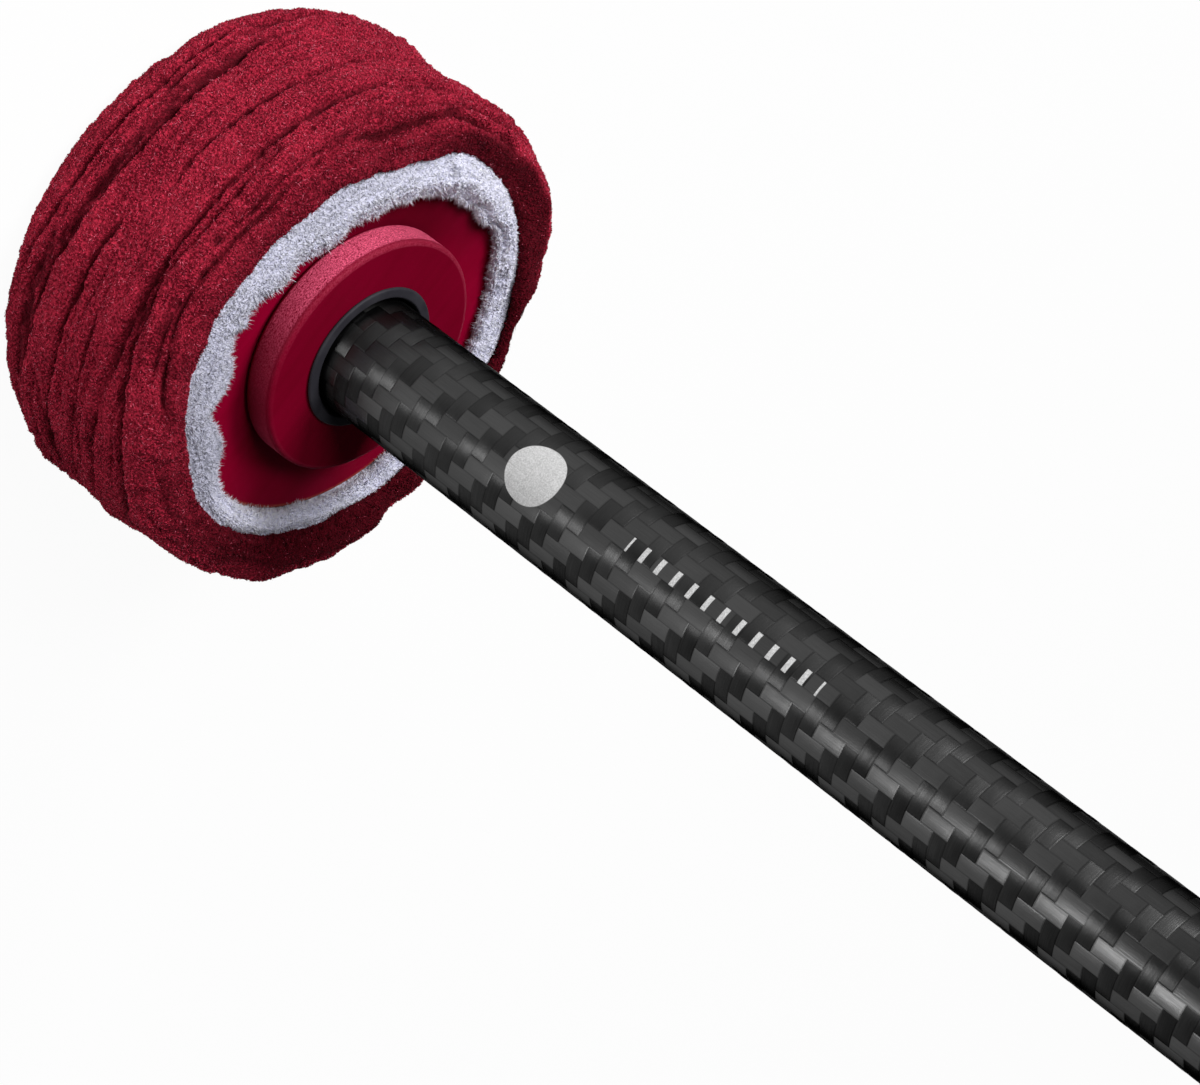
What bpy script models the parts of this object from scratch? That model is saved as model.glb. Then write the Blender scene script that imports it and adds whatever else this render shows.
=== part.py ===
# Gong mallet: a wrapped drum head on a carbon fibre tube.
# It stands on its nose. The origin is the middle of the nose's flat underside,
# +Z runs up the shaft to the butt, and the turned-in edge of the fleece faces -Y.

import math

import bmesh
import bpy

# Driving dimensions, in metres

OVERALL_LENGTH = 0.3560          # nose to butt end
SEAT_GAP = 0.0003                # left between two pieces that touch
FIT_CLEARANCE = 0.0003           # radial room round a piece that sits in a bore

SHAFT_DIAMETER = 0.0160
SHAFT_WALL = 0.0015
SHAFT_END_CHAMFER = 0.0002

PLUG_FLANGE_THICKNESS = 0.0030
PLUG_SPIGOT_LENGTH = 0.0150
PLUG_EDGE_ROUND = 0.0012

INSERT_LENGTH = 0.0300
INSERT_CHAMFER = 0.0005

BOLT_DIAMETER = 0.0060
BOLT_HEAD_DIAMETER = 0.0100
BOLT_HEAD_HEIGHT = 0.0028
BOLT_REACH = 0.0140              # how far the bolt goes up into the insert
BOLT_TIP_CHAMFER = 0.0006
BOLT_SOCKET_WIDTH = 0.0040       # across the flats of the hexagon socket
BOLT_SOCKET_DEPTH = 0.0015
BOLT_HEAD_SINK = 0.0004          # the head lies this far inside the nose disc's face
TAPPED_HOLE_RUNOUT = 0.0030      # tapped hole beyond the bolt's tip

WASHER_DIAMETER = 0.0140
WASHER_THICKNESS = 0.0010
WASHER_EDGE_ROUND = 0.0002

DISC_DIAMETER = 0.0506           # nose disc, core and rear disc are one size
DISC_EDGE_ROUND = 0.0005
NOSE_DISC_THICKNESS = 0.0065
REAR_DISC_THICKNESS = 0.0050

CORE_FLOOR = 0.0032              # wood under the weight ring
CORE_INNER_WALL = 0.0034         # wood between the shaft's bore and the weight ring
CORE_OUTER_WALL = 0.0030         # wood outside the weight ring
WEIGHT_RING_HEIGHT = 0.0060
WEIGHT_RING_CHAMFER = 0.0005

BOSS_DIAMETER = 0.0330
BOSS_THICKNESS = 0.0046
BOSS_EDGE_ROUND = 0.0004

RING_FLANGE_DIAMETER = 0.0204
RING_FLANGE_THICKNESS = 0.0010
RING_EDGE_ROUND = 0.0003
RING_SLEEVE_WALL = 0.0011
RING_SLEEVE_LENGTH = 0.0040
RING_MOUTH_CHAMFER = 0.0003

LINER_WALL = 0.0036              # white fleece round the core
LINER_FLOOR = 0.0025             # white fleece under the nose disc
LINER_FLAP_THICKNESS = 0.0015    # where it is turned in over the rear disc
LINER_NOSE_ROUND = 0.0026
LINER_SHOULDER = 0.0019          # how broadly its top edge is rounded
LINER_LEAST_REACH = 0.0005       # over the rear disc's rim where it isn't turned in
FLAP_FULL_REACH = 0.0069         # beyond that, where it is turned in furthest

COVER_THICKNESS = 0.0048         # red fleece outside the liner, fold crests included
COVER_NOSE_THICKNESS = 0.0020    # red fleece turned in under the nose
COVER_NOSE_ROUND = 0.0035
COVER_LIP_RISE = 0.0036          # how far the lip stands above the rear disc
COVER_LIP_ROUND = 0.0049
COVER_LIP_OVERHANG = 0.0010      # how far the lip leans in over the liner
COVER_LIP_DEPTH = 0.0014         # thickness of that overhang
FOLD_WIDTH = 0.0018              # shoulder to shoulder
FOLD_DEPTH = 0.0013              # of the deepest fold
FOLD_WANDER = 0.0007             # how far the most crooked fold strays up and down
FOLD_BREATH = 0.25               # share of its depth that a fold loses and gains round the head

PATCH_DIAMETER = 0.0470
PATCH_THICKNESS = 0.0024
PATCH_EDGE_ROUND = 0.0006
PATCH_PROUD = 0.0004             # how far the patch stands below the turned-in cover

# How far the white fleece is turned in over the rear disc, as shares of FLAP_FULL_REACH
# beyond LINER_LEAST_REACH: degrees round from +X, share
FLAP_EDGE = (
    (160, 0.0),
    (168, 0.25),
    (195, 0.54),
    (215, 0.72),
    (241, 1.0),
    (257, 0.62),
    (266, 0.80),
    (281, 0.33),
    (306, 0.65),
    (318, 0.32),
    (334, 0.46),
    (350, 0.15),
    (356, 0.0),
)

# Folds pressed round the cover: share of the way up the wall, share of FOLD_DEPTH,
# share of FOLD_WANDER, waves round the head, phase
FOLDS = (
    (0.05, 0.7, 0.4, 2, 0.4),
    (0.26, 1.0, 1.0, 2, 2.6),
    (0.45, 0.8, 0.9, 1, 5.2),
    (0.63, 0.5, 0.6, 3, 1.1),
    (0.82, 0.8, 0.6, 2, 4.0),
    (0.96, 0.8, 0.4, 3, 0.2),
)

TURNED_STEPS = 60                # facets of a plain turned piece
BOLT_STEPS = 36
LINER_COLUMNS = 48
COVER_COLUMNS = 36
COVER_NOSE_ARC = (-90, -15, 3)   # start, end and facets of the rounded nose
COVER_LIP_ARC = (20, 90, 4)      # the same for the rolled lip
SHOULDER_STEPS = 3
WOOD_AND_METAL_SHARP = 35        # degrees between facets past which an edge is sharp
FLEECE_SHARP = 60
ARC_STEPS = 2                    # facets of a rounded edge in a profile

# Heights of the stack, from the nose up

patch_top = PATCH_THICKNESS
liner_bottom = patch_top + SEAT_GAP
liner_floor_top = liner_bottom + LINER_FLOOR
nose_disc_bottom = liner_floor_top + SEAT_GAP
nose_disc_top = nose_disc_bottom + NOSE_DISC_THICKNESS
core_bottom = nose_disc_top + SEAT_GAP
groove_floor = core_bottom + CORE_FLOOR
weight_bottom = groove_floor + SEAT_GAP
core_top = weight_bottom + WEIGHT_RING_HEIGHT
rear_bottom = core_top + SEAT_GAP
rear_top = rear_bottom + REAR_DISC_THICKNESS
boss_bottom = rear_top + SEAT_GAP
boss_top = boss_bottom + BOSS_THICKNESS
flange_bottom = boss_top + SEAT_GAP
shaft_bottom = core_bottom
shaft_top = OVERALL_LENGTH - PLUG_FLANGE_THICKNESS - SEAT_GAP

# Radii shared by pieces that fit each other

shaft_radius = SHAFT_DIAMETER / 2
shaft_bore = shaft_radius - SHAFT_WALL
bore_filler = shaft_bore - FIT_CLEARANCE
shaft_passage = shaft_radius + FIT_CLEARANCE
disc_radius = DISC_DIAMETER / 2
bolt_radius = BOLT_DIAMETER / 2
bolt_passage = bolt_radius + FIT_CLEARANCE
ring_sleeve_radius = shaft_passage + RING_SLEEVE_WALL
boss_bore = ring_sleeve_radius + FIT_CLEARANCE
groove_inner = shaft_passage + CORE_INNER_WALL
groove_outer = disc_radius - CORE_OUTER_WALL
liner_inner = disc_radius + SEAT_GAP
liner_outer = liner_inner + LINER_WALL
cover_inner = liner_outer + SEAT_GAP
cover_outer = cover_inner + COVER_THICKNESS
patch_radius = PATCH_DIAMETER / 2

recess_depth = BOLT_HEAD_SINK + BOLT_HEAD_HEIGHT + SEAT_GAP + WASHER_THICKNESS + SEAT_GAP
recess_roof = nose_disc_bottom + recess_depth


def clear_scene():
    """Remove every object that the file starts with."""
    for thing in list(bpy.data.objects):
        bpy.data.objects.remove(thing, do_unlink=True)


def finish_material(name, colour, roughness, metallic=0.0):
    """One Principled material with a colour, a roughness and a metallic value."""
    material = bpy.data.materials.new(name)
    material.use_nodes = True
    shader = material.node_tree.nodes["Principled BSDF"]
    shader.inputs["Base Color"].default_value = (*colour, 1.0)
    shader.inputs["Roughness"].default_value = roughness
    shader.inputs["Metallic"].default_value = metallic
    material.diffuse_color = (*colour, 1.0)
    return material


def add_object(name, form, material, smooth_angle=WOOD_AND_METAL_SHARP):
    """Turn a bmesh into a named object with outward faces and smooth round sides."""
    bmesh.ops.recalc_face_normals(form, faces=form.faces)
    mesh = bpy.data.meshes.new(name)
    form.to_mesh(mesh)
    form.free()
    mesh.materials.append(material)
    mesh.shade_smooth()
    mesh.set_sharp_from_angle(angle=math.radians(smooth_angle))
    thing = bpy.data.objects.new(name, mesh)
    bpy.context.scene.collection.objects.link(thing)
    return thing


def arc(centre_r, centre_z, radius, start, end, steps=ARC_STEPS):
    """Points of an arc in the (radius, height) plane, from one angle to another in degrees."""
    points = []
    for step in range(steps + 1):
        angle = math.radians(start + (end - start) * step / steps)
        points.append((centre_r + radius * math.cos(angle), centre_z + radius * math.sin(angle)))
    return points


def turned(name, profile, material, steps=TURNED_STEPS):
    """Spin a closed (radius, height) profile round the Z axis."""
    form = bmesh.new()
    corners = [form.verts.new((radius, 0.0, height)) for radius, height in profile]
    edges = [form.edges.new((corners[i - 1], corners[i])) for i in range(len(corners))]
    bmesh.ops.spin(
        form,
        geom=corners + edges,
        axis=(0, 0, 1),
        cent=(0, 0, 0),
        angle=math.tau,
        steps=steps,
        use_merge=True,
    )
    bmesh.ops.remove_doubles(form, verts=form.verts, dist=0.00001)
    return add_object(name, form, material)


def disc_profile(bore, radius, bottom, top, edge_round):
    """A flat disc with a bore and rounded outer edges."""
    low = arc(radius - edge_round, bottom + edge_round, edge_round, -90, 0)
    high = arc(radius - edge_round, top - edge_round, edge_round, 0, 90)
    return [(bore, bottom), *low, *high, (bore, top)]


def lofted(name, section, columns, material, closed, smooth_angle=WOOD_AND_METAL_SHARP):
    """Join the same profile, worked out at each angle round Z, into one closed skin.

    A closed profile makes a ring. An open one starts and ends on the axis."""
    form = bmesh.new()
    first = section(0.0)
    rings = first if closed else first[1:-1]
    skin = []
    for column in range(columns):
        angle = math.tau * column / columns
        points = section(angle)
        points = points if closed else points[1:-1]
        across = math.cos(angle)
        along = math.sin(angle)
        skin.append([form.verts.new((r * across, r * along, z)) for r, z in points])
    rows = len(rings)
    for column in range(columns):
        here = skin[column]
        there = skin[(column + 1) % columns]
        for row in range(rows if closed else rows - 1):
            after = (row + 1) % rows
            form.faces.new((here[row], there[row], there[after], here[after]))
    if not closed:
        for end, row in ((first[0], 0), (first[-1], rows - 1)):
            pole = form.verts.new((0.0, 0.0, end[1]))
            for column in range(columns):
                form.faces.new((skin[column][row], skin[(column + 1) % columns][row], pole))
    return add_object(name, form, material, smooth_angle)


def flap_reach(angle):
    """How far the white fleece lies over the rear disc at this angle round Z."""
    degrees = math.degrees(angle) % 360
    for (start, low), (end, high) in zip(FLAP_EDGE, FLAP_EDGE[1:]):
        if start <= degrees <= end:
            way = (degrees - start) / (end - start)
            ease = (1 - math.cos(math.pi * way)) / 2
            return LINER_LEAST_REACH + FLAP_FULL_REACH * (low + (high - low) * ease)
    return LINER_LEAST_REACH


def liner_section(angle):
    """The white fleece cup: floor, wall, rounded shoulder and the edge turned in on the disc."""
    flap_bottom = rear_top + SEAT_GAP
    flap_top = flap_bottom + LINER_FLAP_THICKNESS
    edge = disc_radius - flap_reach(angle)
    half = LINER_FLAP_THICKNESS / 2
    return [
        (0.0, liner_bottom),
        *arc(liner_outer - LINER_NOSE_ROUND, liner_bottom + LINER_NOSE_ROUND,
             LINER_NOSE_ROUND, -90, 0),
        *arc(liner_outer - LINER_SHOULDER, flap_top - LINER_SHOULDER,
             LINER_SHOULDER, 0, 90, SHOULDER_STEPS),
        *arc(edge + half, flap_bottom + half, half, 90, 180, 2),
        (edge, flap_bottom),
        (liner_inner, flap_bottom),
        (liner_inner, liner_floor_top),
        (0.0, liner_floor_top),
    ]


def cover_section(angle):
    """The red fleece cover: turned in under the nose, folded up the wall, rolled at the lip."""
    bottom = PATCH_PROUD
    turn_in = patch_radius + SEAT_GAP
    turn_top = bottom + COVER_NOSE_THICKNESS
    lip_top = rear_top + COVER_LIP_RISE
    lip_low = lip_top - COVER_LIP_DEPTH
    wall_low = bottom + COVER_NOSE_ROUND
    wall_high = lip_top - COVER_LIP_ROUND
    points = [(turn_in, turn_top), (turn_in, bottom)]
    points += arc(cover_outer - COVER_NOSE_ROUND, wall_low, COVER_NOSE_ROUND, *COVER_NOSE_ARC)
    for share, depth, wander, waves, phase in FOLDS:
        height = wall_low + share * (wall_high - wall_low)
        height += FOLD_WANDER * wander * math.sin(waves * angle + phase)
        breath = 1 - FOLD_BREATH + FOLD_BREATH * math.sin(angle + 2 * phase)
        points.append((cover_outer, height - FOLD_WIDTH / 2))
        points.append((cover_outer - FOLD_DEPTH * depth * breath, height))
        points.append((cover_outer, height + FOLD_WIDTH / 2))
    points += arc(cover_outer - COVER_LIP_ROUND, wall_high, COVER_LIP_ROUND, *COVER_LIP_ARC)
    points.append((cover_inner - COVER_LIP_OVERHANG, lip_top - COVER_LIP_DEPTH / 2))
    points.append((cover_inner - COVER_LIP_OVERHANG / 2, lip_low))
    points.append((cover_inner, lip_low))
    points.append((cover_inner, turn_top))
    return points


def make_shaft_tube(material):
    """The carbon fibre tube, from the top of the nose disc to the butt plug."""
    chamfer = SHAFT_END_CHAMFER
    profile = [
        (shaft_bore + chamfer, shaft_bottom),
        (shaft_radius - chamfer, shaft_bottom),
        (shaft_radius, shaft_bottom + chamfer),
        (shaft_radius, shaft_top - chamfer),
        (shaft_radius - chamfer, shaft_top),
        (shaft_bore + chamfer, shaft_top),
        (shaft_bore, shaft_top - chamfer),
        (shaft_bore, shaft_bottom + chamfer),
    ]
    return turned("shaft_tube", profile, material)


def make_butt_plug(material):
    """The plug that closes the tube's far end, with a flat end face."""
    flange_low = shaft_top + SEAT_GAP
    spigot_low = shaft_top - PLUG_SPIGOT_LENGTH
    rim = arc(shaft_radius - PLUG_EDGE_ROUND, OVERALL_LENGTH - PLUG_EDGE_ROUND,
              PLUG_EDGE_ROUND, 0, 90)
    skirt = [
        (0.0, spigot_low),
        (bore_filler - INSERT_CHAMFER, spigot_low),
        (bore_filler, spigot_low + INSERT_CHAMFER),
        (bore_filler, flange_low),
        (shaft_radius, flange_low),
        *rim,
        (0.0, OVERALL_LENGTH),
    ]
    return lofted("butt_plug", lambda angle: skirt, TURNED_STEPS, material, closed=False)


def make_tube_insert(material):
    """The tapped plug that is glued into the head end of the tube."""
    top = shaft_bottom + INSERT_LENGTH
    hole_top = shaft_bottom + BOLT_REACH + TAPPED_HOLE_RUNOUT
    profile = [
        (0.0, hole_top),
        (bolt_passage, hole_top),
        (bolt_passage, shaft_bottom),
        (bore_filler - INSERT_CHAMFER, shaft_bottom),
        (bore_filler, shaft_bottom + INSERT_CHAMFER),
        (bore_filler, top - INSERT_CHAMFER),
        (bore_filler - INSERT_CHAMFER, top),
        (0.0, top),
    ]
    return lofted("tube_insert", lambda angle: profile, TURNED_STEPS, material, closed=False)


def make_head_bolt(material):
    """The low-headed screw that pulls the nose disc, core and rear disc up to the shaft."""
    head_bottom = nose_disc_bottom + BOLT_HEAD_SINK
    head_top = head_bottom + BOLT_HEAD_HEIGHT
    tip = shaft_bottom + BOLT_REACH
    head_radius = BOLT_HEAD_DIAMETER / 2
    profile = [
        (0.0, head_bottom),
        (head_radius, head_bottom),
        (head_radius, head_top),
        (bolt_radius, head_top),
        (bolt_radius, tip - BOLT_TIP_CHAMFER),
        (bolt_radius - BOLT_TIP_CHAMFER, tip),
        (0.0, tip),
    ]
    bolt = lofted("head_bolt", lambda angle: profile, BOLT_STEPS, material, closed=False)
    key = bmesh.new()
    corner_radius = BOLT_SOCKET_WIDTH / math.sqrt(3)
    bmesh.ops.create_cone(
        key,
        cap_ends=True,
        segments=6,
        radius1=corner_radius,
        radius2=corner_radius,
        depth=2 * BOLT_SOCKET_DEPTH,
    )
    cutter = add_object("socket_cutter", key, material)
    cutter.location = (0.0, 0.0, head_bottom)
    cutter.hide_render = True
    cutter.display_type = "WIRE"
    cut = bolt.modifiers.new("hexagon socket", "BOOLEAN")
    cut.object = cutter
    cut.operation = "DIFFERENCE"
    cut.solver = "EXACT"
    return bolt


def make_bolt_washer(material):
    """The washer between the bolt's head and the wood."""
    top = recess_roof - SEAT_GAP
    profile = disc_profile(bolt_passage, WASHER_DIAMETER / 2, top - WASHER_THICKNESS, top,
                           WASHER_EDGE_ROUND)
    return turned("bolt_washer", profile, material, BOLT_STEPS)


def make_nose_disc(material):
    """The front disc, recessed for the bolt's head."""
    recess = WASHER_DIAMETER / 2 + FIT_CLEARANCE
    rim = disc_profile(bolt_passage, disc_radius, nose_disc_bottom, nose_disc_top,
                       DISC_EDGE_ROUND)
    profile = [
        (bolt_passage, recess_roof),
        (recess, recess_roof),
        (recess, nose_disc_bottom),
        *rim[1:],
    ]
    return turned("nose_disc", profile, material)


def make_core_drum(material):
    """The turned core, with a groove in its top for the weight ring."""
    profile = [
        (shaft_passage, core_bottom),
        (disc_radius, core_bottom),
        (disc_radius, core_top),
        (groove_outer, core_top),
        (groove_outer, groove_floor),
        (groove_inner, groove_floor),
        (groove_inner, core_top),
        (shaft_passage, core_top),
    ]
    return turned("core_drum", profile, material)


def make_weight_ring(material):
    """The steel ring that loads the head."""
    inner = groove_inner + FIT_CLEARANCE
    outer = groove_outer - FIT_CLEARANCE
    top = weight_bottom + WEIGHT_RING_HEIGHT
    chamfer = WEIGHT_RING_CHAMFER
    profile = [
        (inner, weight_bottom),
        (outer - chamfer, weight_bottom),
        (outer, weight_bottom + chamfer),
        (outer, top - chamfer),
        (outer - chamfer, top),
        (inner, top),
    ]
    return turned("weight_ring", profile, material)


def make_rear_disc(material):
    """The large disc that shows at the shaft side of the head."""
    profile = disc_profile(shaft_passage, disc_radius, rear_bottom, rear_top, DISC_EDGE_ROUND)
    return turned("rear_disc", profile, material)


def make_hub_boss(material):
    """The smaller disc on the rear disc, bored for the rubber ring."""
    profile = disc_profile(boss_bore, BOSS_DIAMETER / 2, boss_bottom, boss_top, BOSS_EDGE_ROUND)
    return turned("hub_boss", profile, material)


def make_rubber_ring(material):
    """The flanged ring that seals the tube in the boss: a sleeve below and a flange above."""
    sleeve_low = flange_bottom - RING_SLEEVE_LENGTH
    flange_top = flange_bottom + RING_FLANGE_THICKNESS
    flange = RING_FLANGE_DIAMETER / 2
    profile = [
        (shaft_passage, sleeve_low),
        (ring_sleeve_radius, sleeve_low),
        (ring_sleeve_radius, flange_bottom),
        (flange, flange_bottom),
        *arc(flange - RING_EDGE_ROUND, flange_top - RING_EDGE_ROUND, RING_EDGE_ROUND, 0, 90),
        (shaft_passage + RING_MOUTH_CHAMFER, flange_top),
        (shaft_passage, flange_top - RING_MOUTH_CHAMFER),
    ]
    return turned("rubber_ring", profile, material)


def make_nose_patch(material):
    """The round fleece patch that closes the cover, flat where the mallet stands on it."""
    rim_low = arc(patch_radius - PATCH_EDGE_ROUND, PATCH_EDGE_ROUND, PATCH_EDGE_ROUND, -90, 0)
    rim_high = arc(patch_radius - PATCH_EDGE_ROUND, patch_top - PATCH_EDGE_ROUND,
                   PATCH_EDGE_ROUND, 0, 90)
    profile = [(0.0, 0.0), *rim_low, *rim_high, (0.0, patch_top)]
    return lofted("nose_patch", lambda angle: profile, LINER_COLUMNS, material, closed=False)


def build():
    """Make every piece of the mallet in its place."""
    clear_scene()
    carbon = finish_material("carbon_fibre", (0.030, 0.031, 0.033), 0.38)
    black_plastic = finish_material("black_plastic", (0.020, 0.020, 0.022), 0.45)
    rubber = finish_material("black_rubber", (0.028, 0.028, 0.034), 0.60)
    aluminium = finish_material("aluminium", (0.62, 0.63, 0.64), 0.35, 1.0)
    steel = finish_material("steel", (0.45, 0.45, 0.46), 0.35, 1.0)
    core_wood = finish_material("core_wood", (0.47, 0.32, 0.19), 0.70)
    stained_wood = finish_material("stained_wood", (0.23, 0.004, 0.022), 0.45)
    white_fleece = finish_material("white_fleece", (0.66, 0.66, 0.72), 0.95)
    red_fleece = finish_material("red_fleece", (0.36, 0.018, 0.040), 0.95)

    lofted("red_cover", cover_section, COVER_COLUMNS, red_fleece, True, FLEECE_SHARP)
    lofted("white_liner", liner_section, LINER_COLUMNS, white_fleece, False, FLEECE_SHARP)
    make_nose_patch(red_fleece)
    make_nose_disc(core_wood)
    make_core_drum(core_wood)
    make_weight_ring(steel)
    make_rear_disc(stained_wood)
    make_hub_boss(stained_wood)
    make_rubber_ring(rubber)
    make_shaft_tube(carbon)
    make_tube_insert(aluminium)
    make_head_bolt(steel)
    make_bolt_washer(steel)
    make_butt_plug(black_plastic)


build()
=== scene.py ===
# %% [markdown]
# A gong mallet: a short wooden drum wrapped in fleece, on a carbon fibre tube.
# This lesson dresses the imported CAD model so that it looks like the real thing.
# The CAD bodies stay as a fixed frame, and every new surface is put where they say.
# Lengths are written in millimetres and turned into metres when a mesh is made.

import bpy
import numpy as np
from mathutils import Matrix, Vector


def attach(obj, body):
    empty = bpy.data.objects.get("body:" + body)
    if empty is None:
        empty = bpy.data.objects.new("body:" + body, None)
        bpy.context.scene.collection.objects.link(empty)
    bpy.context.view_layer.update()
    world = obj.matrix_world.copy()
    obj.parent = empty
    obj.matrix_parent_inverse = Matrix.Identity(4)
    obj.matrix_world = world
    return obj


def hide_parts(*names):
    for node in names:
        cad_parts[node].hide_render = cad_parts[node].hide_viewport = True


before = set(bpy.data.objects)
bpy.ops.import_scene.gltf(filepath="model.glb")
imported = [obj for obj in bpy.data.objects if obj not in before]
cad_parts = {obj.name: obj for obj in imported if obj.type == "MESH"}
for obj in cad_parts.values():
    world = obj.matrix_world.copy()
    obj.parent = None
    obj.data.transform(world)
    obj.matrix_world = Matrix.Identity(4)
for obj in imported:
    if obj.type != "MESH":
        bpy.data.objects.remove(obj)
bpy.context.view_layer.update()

MM = 0.001
TURN = 2 * np.pi

# %% [markdown]
# The camera looks down at the head from the side of the shaft and is rolled, so that the
# shaft runs to the lower right. A rolled camera can be set with three angles, but its
# place and its right, up and backward directions, as the columns of a matrix, are easier
# to read. A long lens keeps the drum and the tube almost free of perspective.

# %% Camera
FORWARD = Vector((0.0, 0.8697, -0.4936))
UP = Vector((-0.7943, -0.2999, -0.5283))
RIGHT = FORWARD.cross(UP).normalized()
CAMERA_MM = (0.97, -406.48, 304.96)


def show(name, data):
    """Put an object with that data in the scene."""
    thing = bpy.data.objects.new(name, data)
    bpy.context.scene.collection.objects.link(thing)
    return thing


lens = bpy.data.cameras.new("camera")
lens.lens = 117.5
lens.sensor_width = 36.0
lens.sensor_fit = "HORIZONTAL"
lens.clip_start = 0.01
camera = show("camera", lens)
turned_to = Matrix((RIGHT, RIGHT.cross(FORWARD).normalized(), -FORWARD)).transposed()
camera.matrix_world = Matrix.Translation(Vector(CAMERA_MM) * MM) @ turned_to.to_4x4()
bpy.context.scene.camera = camera
bpy.context.scene.view_settings.view_transform = "Standard"
print("camera at", tuple(round(value, 3) for value in camera.location))

# %% [markdown]
# Floor, surround and finishes are all made of shader nodes. They could be put together by
# hand in the editor, but a script can be read, changed and run again. Adding a node takes
# several lines, so short functions do it. What comes out of a node is a wire, and a formula
# with wires in it, such as a + b * 2, adds the Math nodes that work it out.

# %% Short ways to add nodes
class Wire:
    """A node's output that takes part in formulas."""

    def __init__(self, tree, socket):
        self.tree = tree
        self.socket = socket

    def __add__(self, other):
        return node_math("ADD", self, other)

    def __sub__(self, other):
        return node_math("SUBTRACT", self, other)

    def __rsub__(self, other):
        return node_math("SUBTRACT", other, self)

    def __mul__(self, other):
        return node_math("MULTIPLY", self, other)


def plug(value, socket):
    """Lead a wire to a socket, or set its constant: a colour as three numbers, None as it is."""
    if isinstance(value, Wire):
        value.tree.links.new(value.socket, socket)
    elif value is not None:
        socket.default_value = (*value, 1.0) if socket.type == "RGBA" else value


def put(tree, kind, inputs, output=0, **settings):
    """Add a node with its settings and inputs, and give back the wire from its output."""
    node = tree.nodes.new("ShaderNode" + kind)
    for name, value in settings.items():
        setattr(node, name, value)
    for label, value in inputs.items():
        plug(value, node.inputs[label])
    return Wire(tree, node.outputs[output])


def node_math(operation, first, second=0.0):
    """One arithmetic step between wires or numbers."""
    tree = first.tree if isinstance(first, Wire) else second.tree
    return put(tree, "Math", {0: first, 1: second}, operation=operation)


def vector_math(operation, first, second=None):
    """One vector step between wires or plain vectors. A scale takes a number second."""
    tree = first.tree if isinstance(first, Wire) else second.tree
    second_socket = "Scale" if operation == "SCALE" else 1
    return put(tree, "VectorMath", {0: first, second_socket: second}, operation=operation)


def noise(place, scale, detail=3.0, roughness=0.55):
    """A noise texture's value."""
    inputs = {"Vector": place, "Scale": scale, "Detail": detail, "Roughness": roughness}
    return put(place.tree, "TexNoise", inputs, "Fac")


def ramp(value, low, high, out_low=0.0, out_high=1.0):
    """Stretch a value from low..high to out_low..out_high, held at both ends."""
    inputs = {"Value": value, "From Min": low, "From Max": high, "To Min": out_low,
              "To Max": out_high}
    return put(value.tree, "MapRange", inputs, "Result")


def mapped(place, scale, turn=(0.0, 0.0, 0.0)):
    """Coordinates turned and stretched by a Mapping node."""
    inputs = {"Vector": place, "Scale": scale, "Rotation": turn}
    return put(place.tree, "Mapping", inputs, "Vector")


def mix_colour(share, first, second):
    """First colour where the share is 0, second where it is 1."""
    colour_a, colour_b, colour_out = 6, 7, 2     # the colour sockets of a Mix node
    return put(share.tree, "Mix", {"Factor": share, colour_a: first, colour_b: second},
               colour_out, data_type="RGBA")


def split(vector):
    """The X, Y and Z of a vector, as three wires."""
    node = put(vector.tree, "SeparateXYZ", {0: vector}).socket.node
    return [Wire(vector.tree, socket) for socket in node.outputs]


def object_place(tree):
    """Object coordinates, in metres."""
    return put(tree, "TexCoord", {}, "Object")


def read_number(tree, name):
    """The value of a mesh attribute."""
    return put(tree, "Attribute", {}, "Fac", attribute_name=name)


print("node helpers ready")

# %% [markdown]
# Studio light: two soft lamps from the right in the picture, a weak low one from below, and
# a faint surround that keeps the shadows open. Together they come to about a
# strength of one, so a colour renders about as it is written. The floor could be a white
# diffuse sheet lit until it clips, but that would light the mallet too. Here it adds plain
# white only to what the camera or a reflection sees, and still takes the shadow.

# %% Lamps
HEAD_MIDDLE = Vector((0.0, 0.0, 0.03))
LAMP_DISTANCE = 0.90
# Direction from the head, size in metres and power in watts of each square lamp
LAMPS = {
    "key_lamp": ((-0.67, -0.31, 0.67), 0.32, 7.6),
    "front_lamp": ((-0.40, -0.62, 0.68), 0.28, 3.0),
    "low_lamp": ((0.40, -0.91, 0.12), 0.20, 2.4),
}
for name, (direction, size, power) in LAMPS.items():
    lamp = bpy.data.lights.new(name, "AREA")
    lamp.size = size
    lamp.energy = power
    holder = show(name, lamp)
    toward = Vector(direction).normalized()
    holder.location = toward * LAMP_DISTANCE + HEAD_MIDDLE
    holder.rotation_euler = toward.to_track_quat("Z", "Y").to_euler()
print("lamps:", ", ".join(LAMPS))

# %% Surround and floor
FLOOR_WHITE = 0.96               # share of plain white in what the camera sees of the floor
SURROUND_LIGHT = 0.03            # strength of the surround where it lights things

world = bpy.data.worlds.new("surround")
world.use_nodes = True
bpy.context.scene.world = world
background = world.node_tree.nodes["Background"]
plug((0.95, 0.97, 1.0), background.inputs["Color"])
# Past the floor's edge the camera sees plain white too
seen_sky = put(world.node_tree, "LightPath", {}, "Is Camera Ray")
plug(ramp(seen_sky, 0.0, 1.0, SURROUND_LIGHT, 1.0), background.inputs["Strength"])

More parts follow.
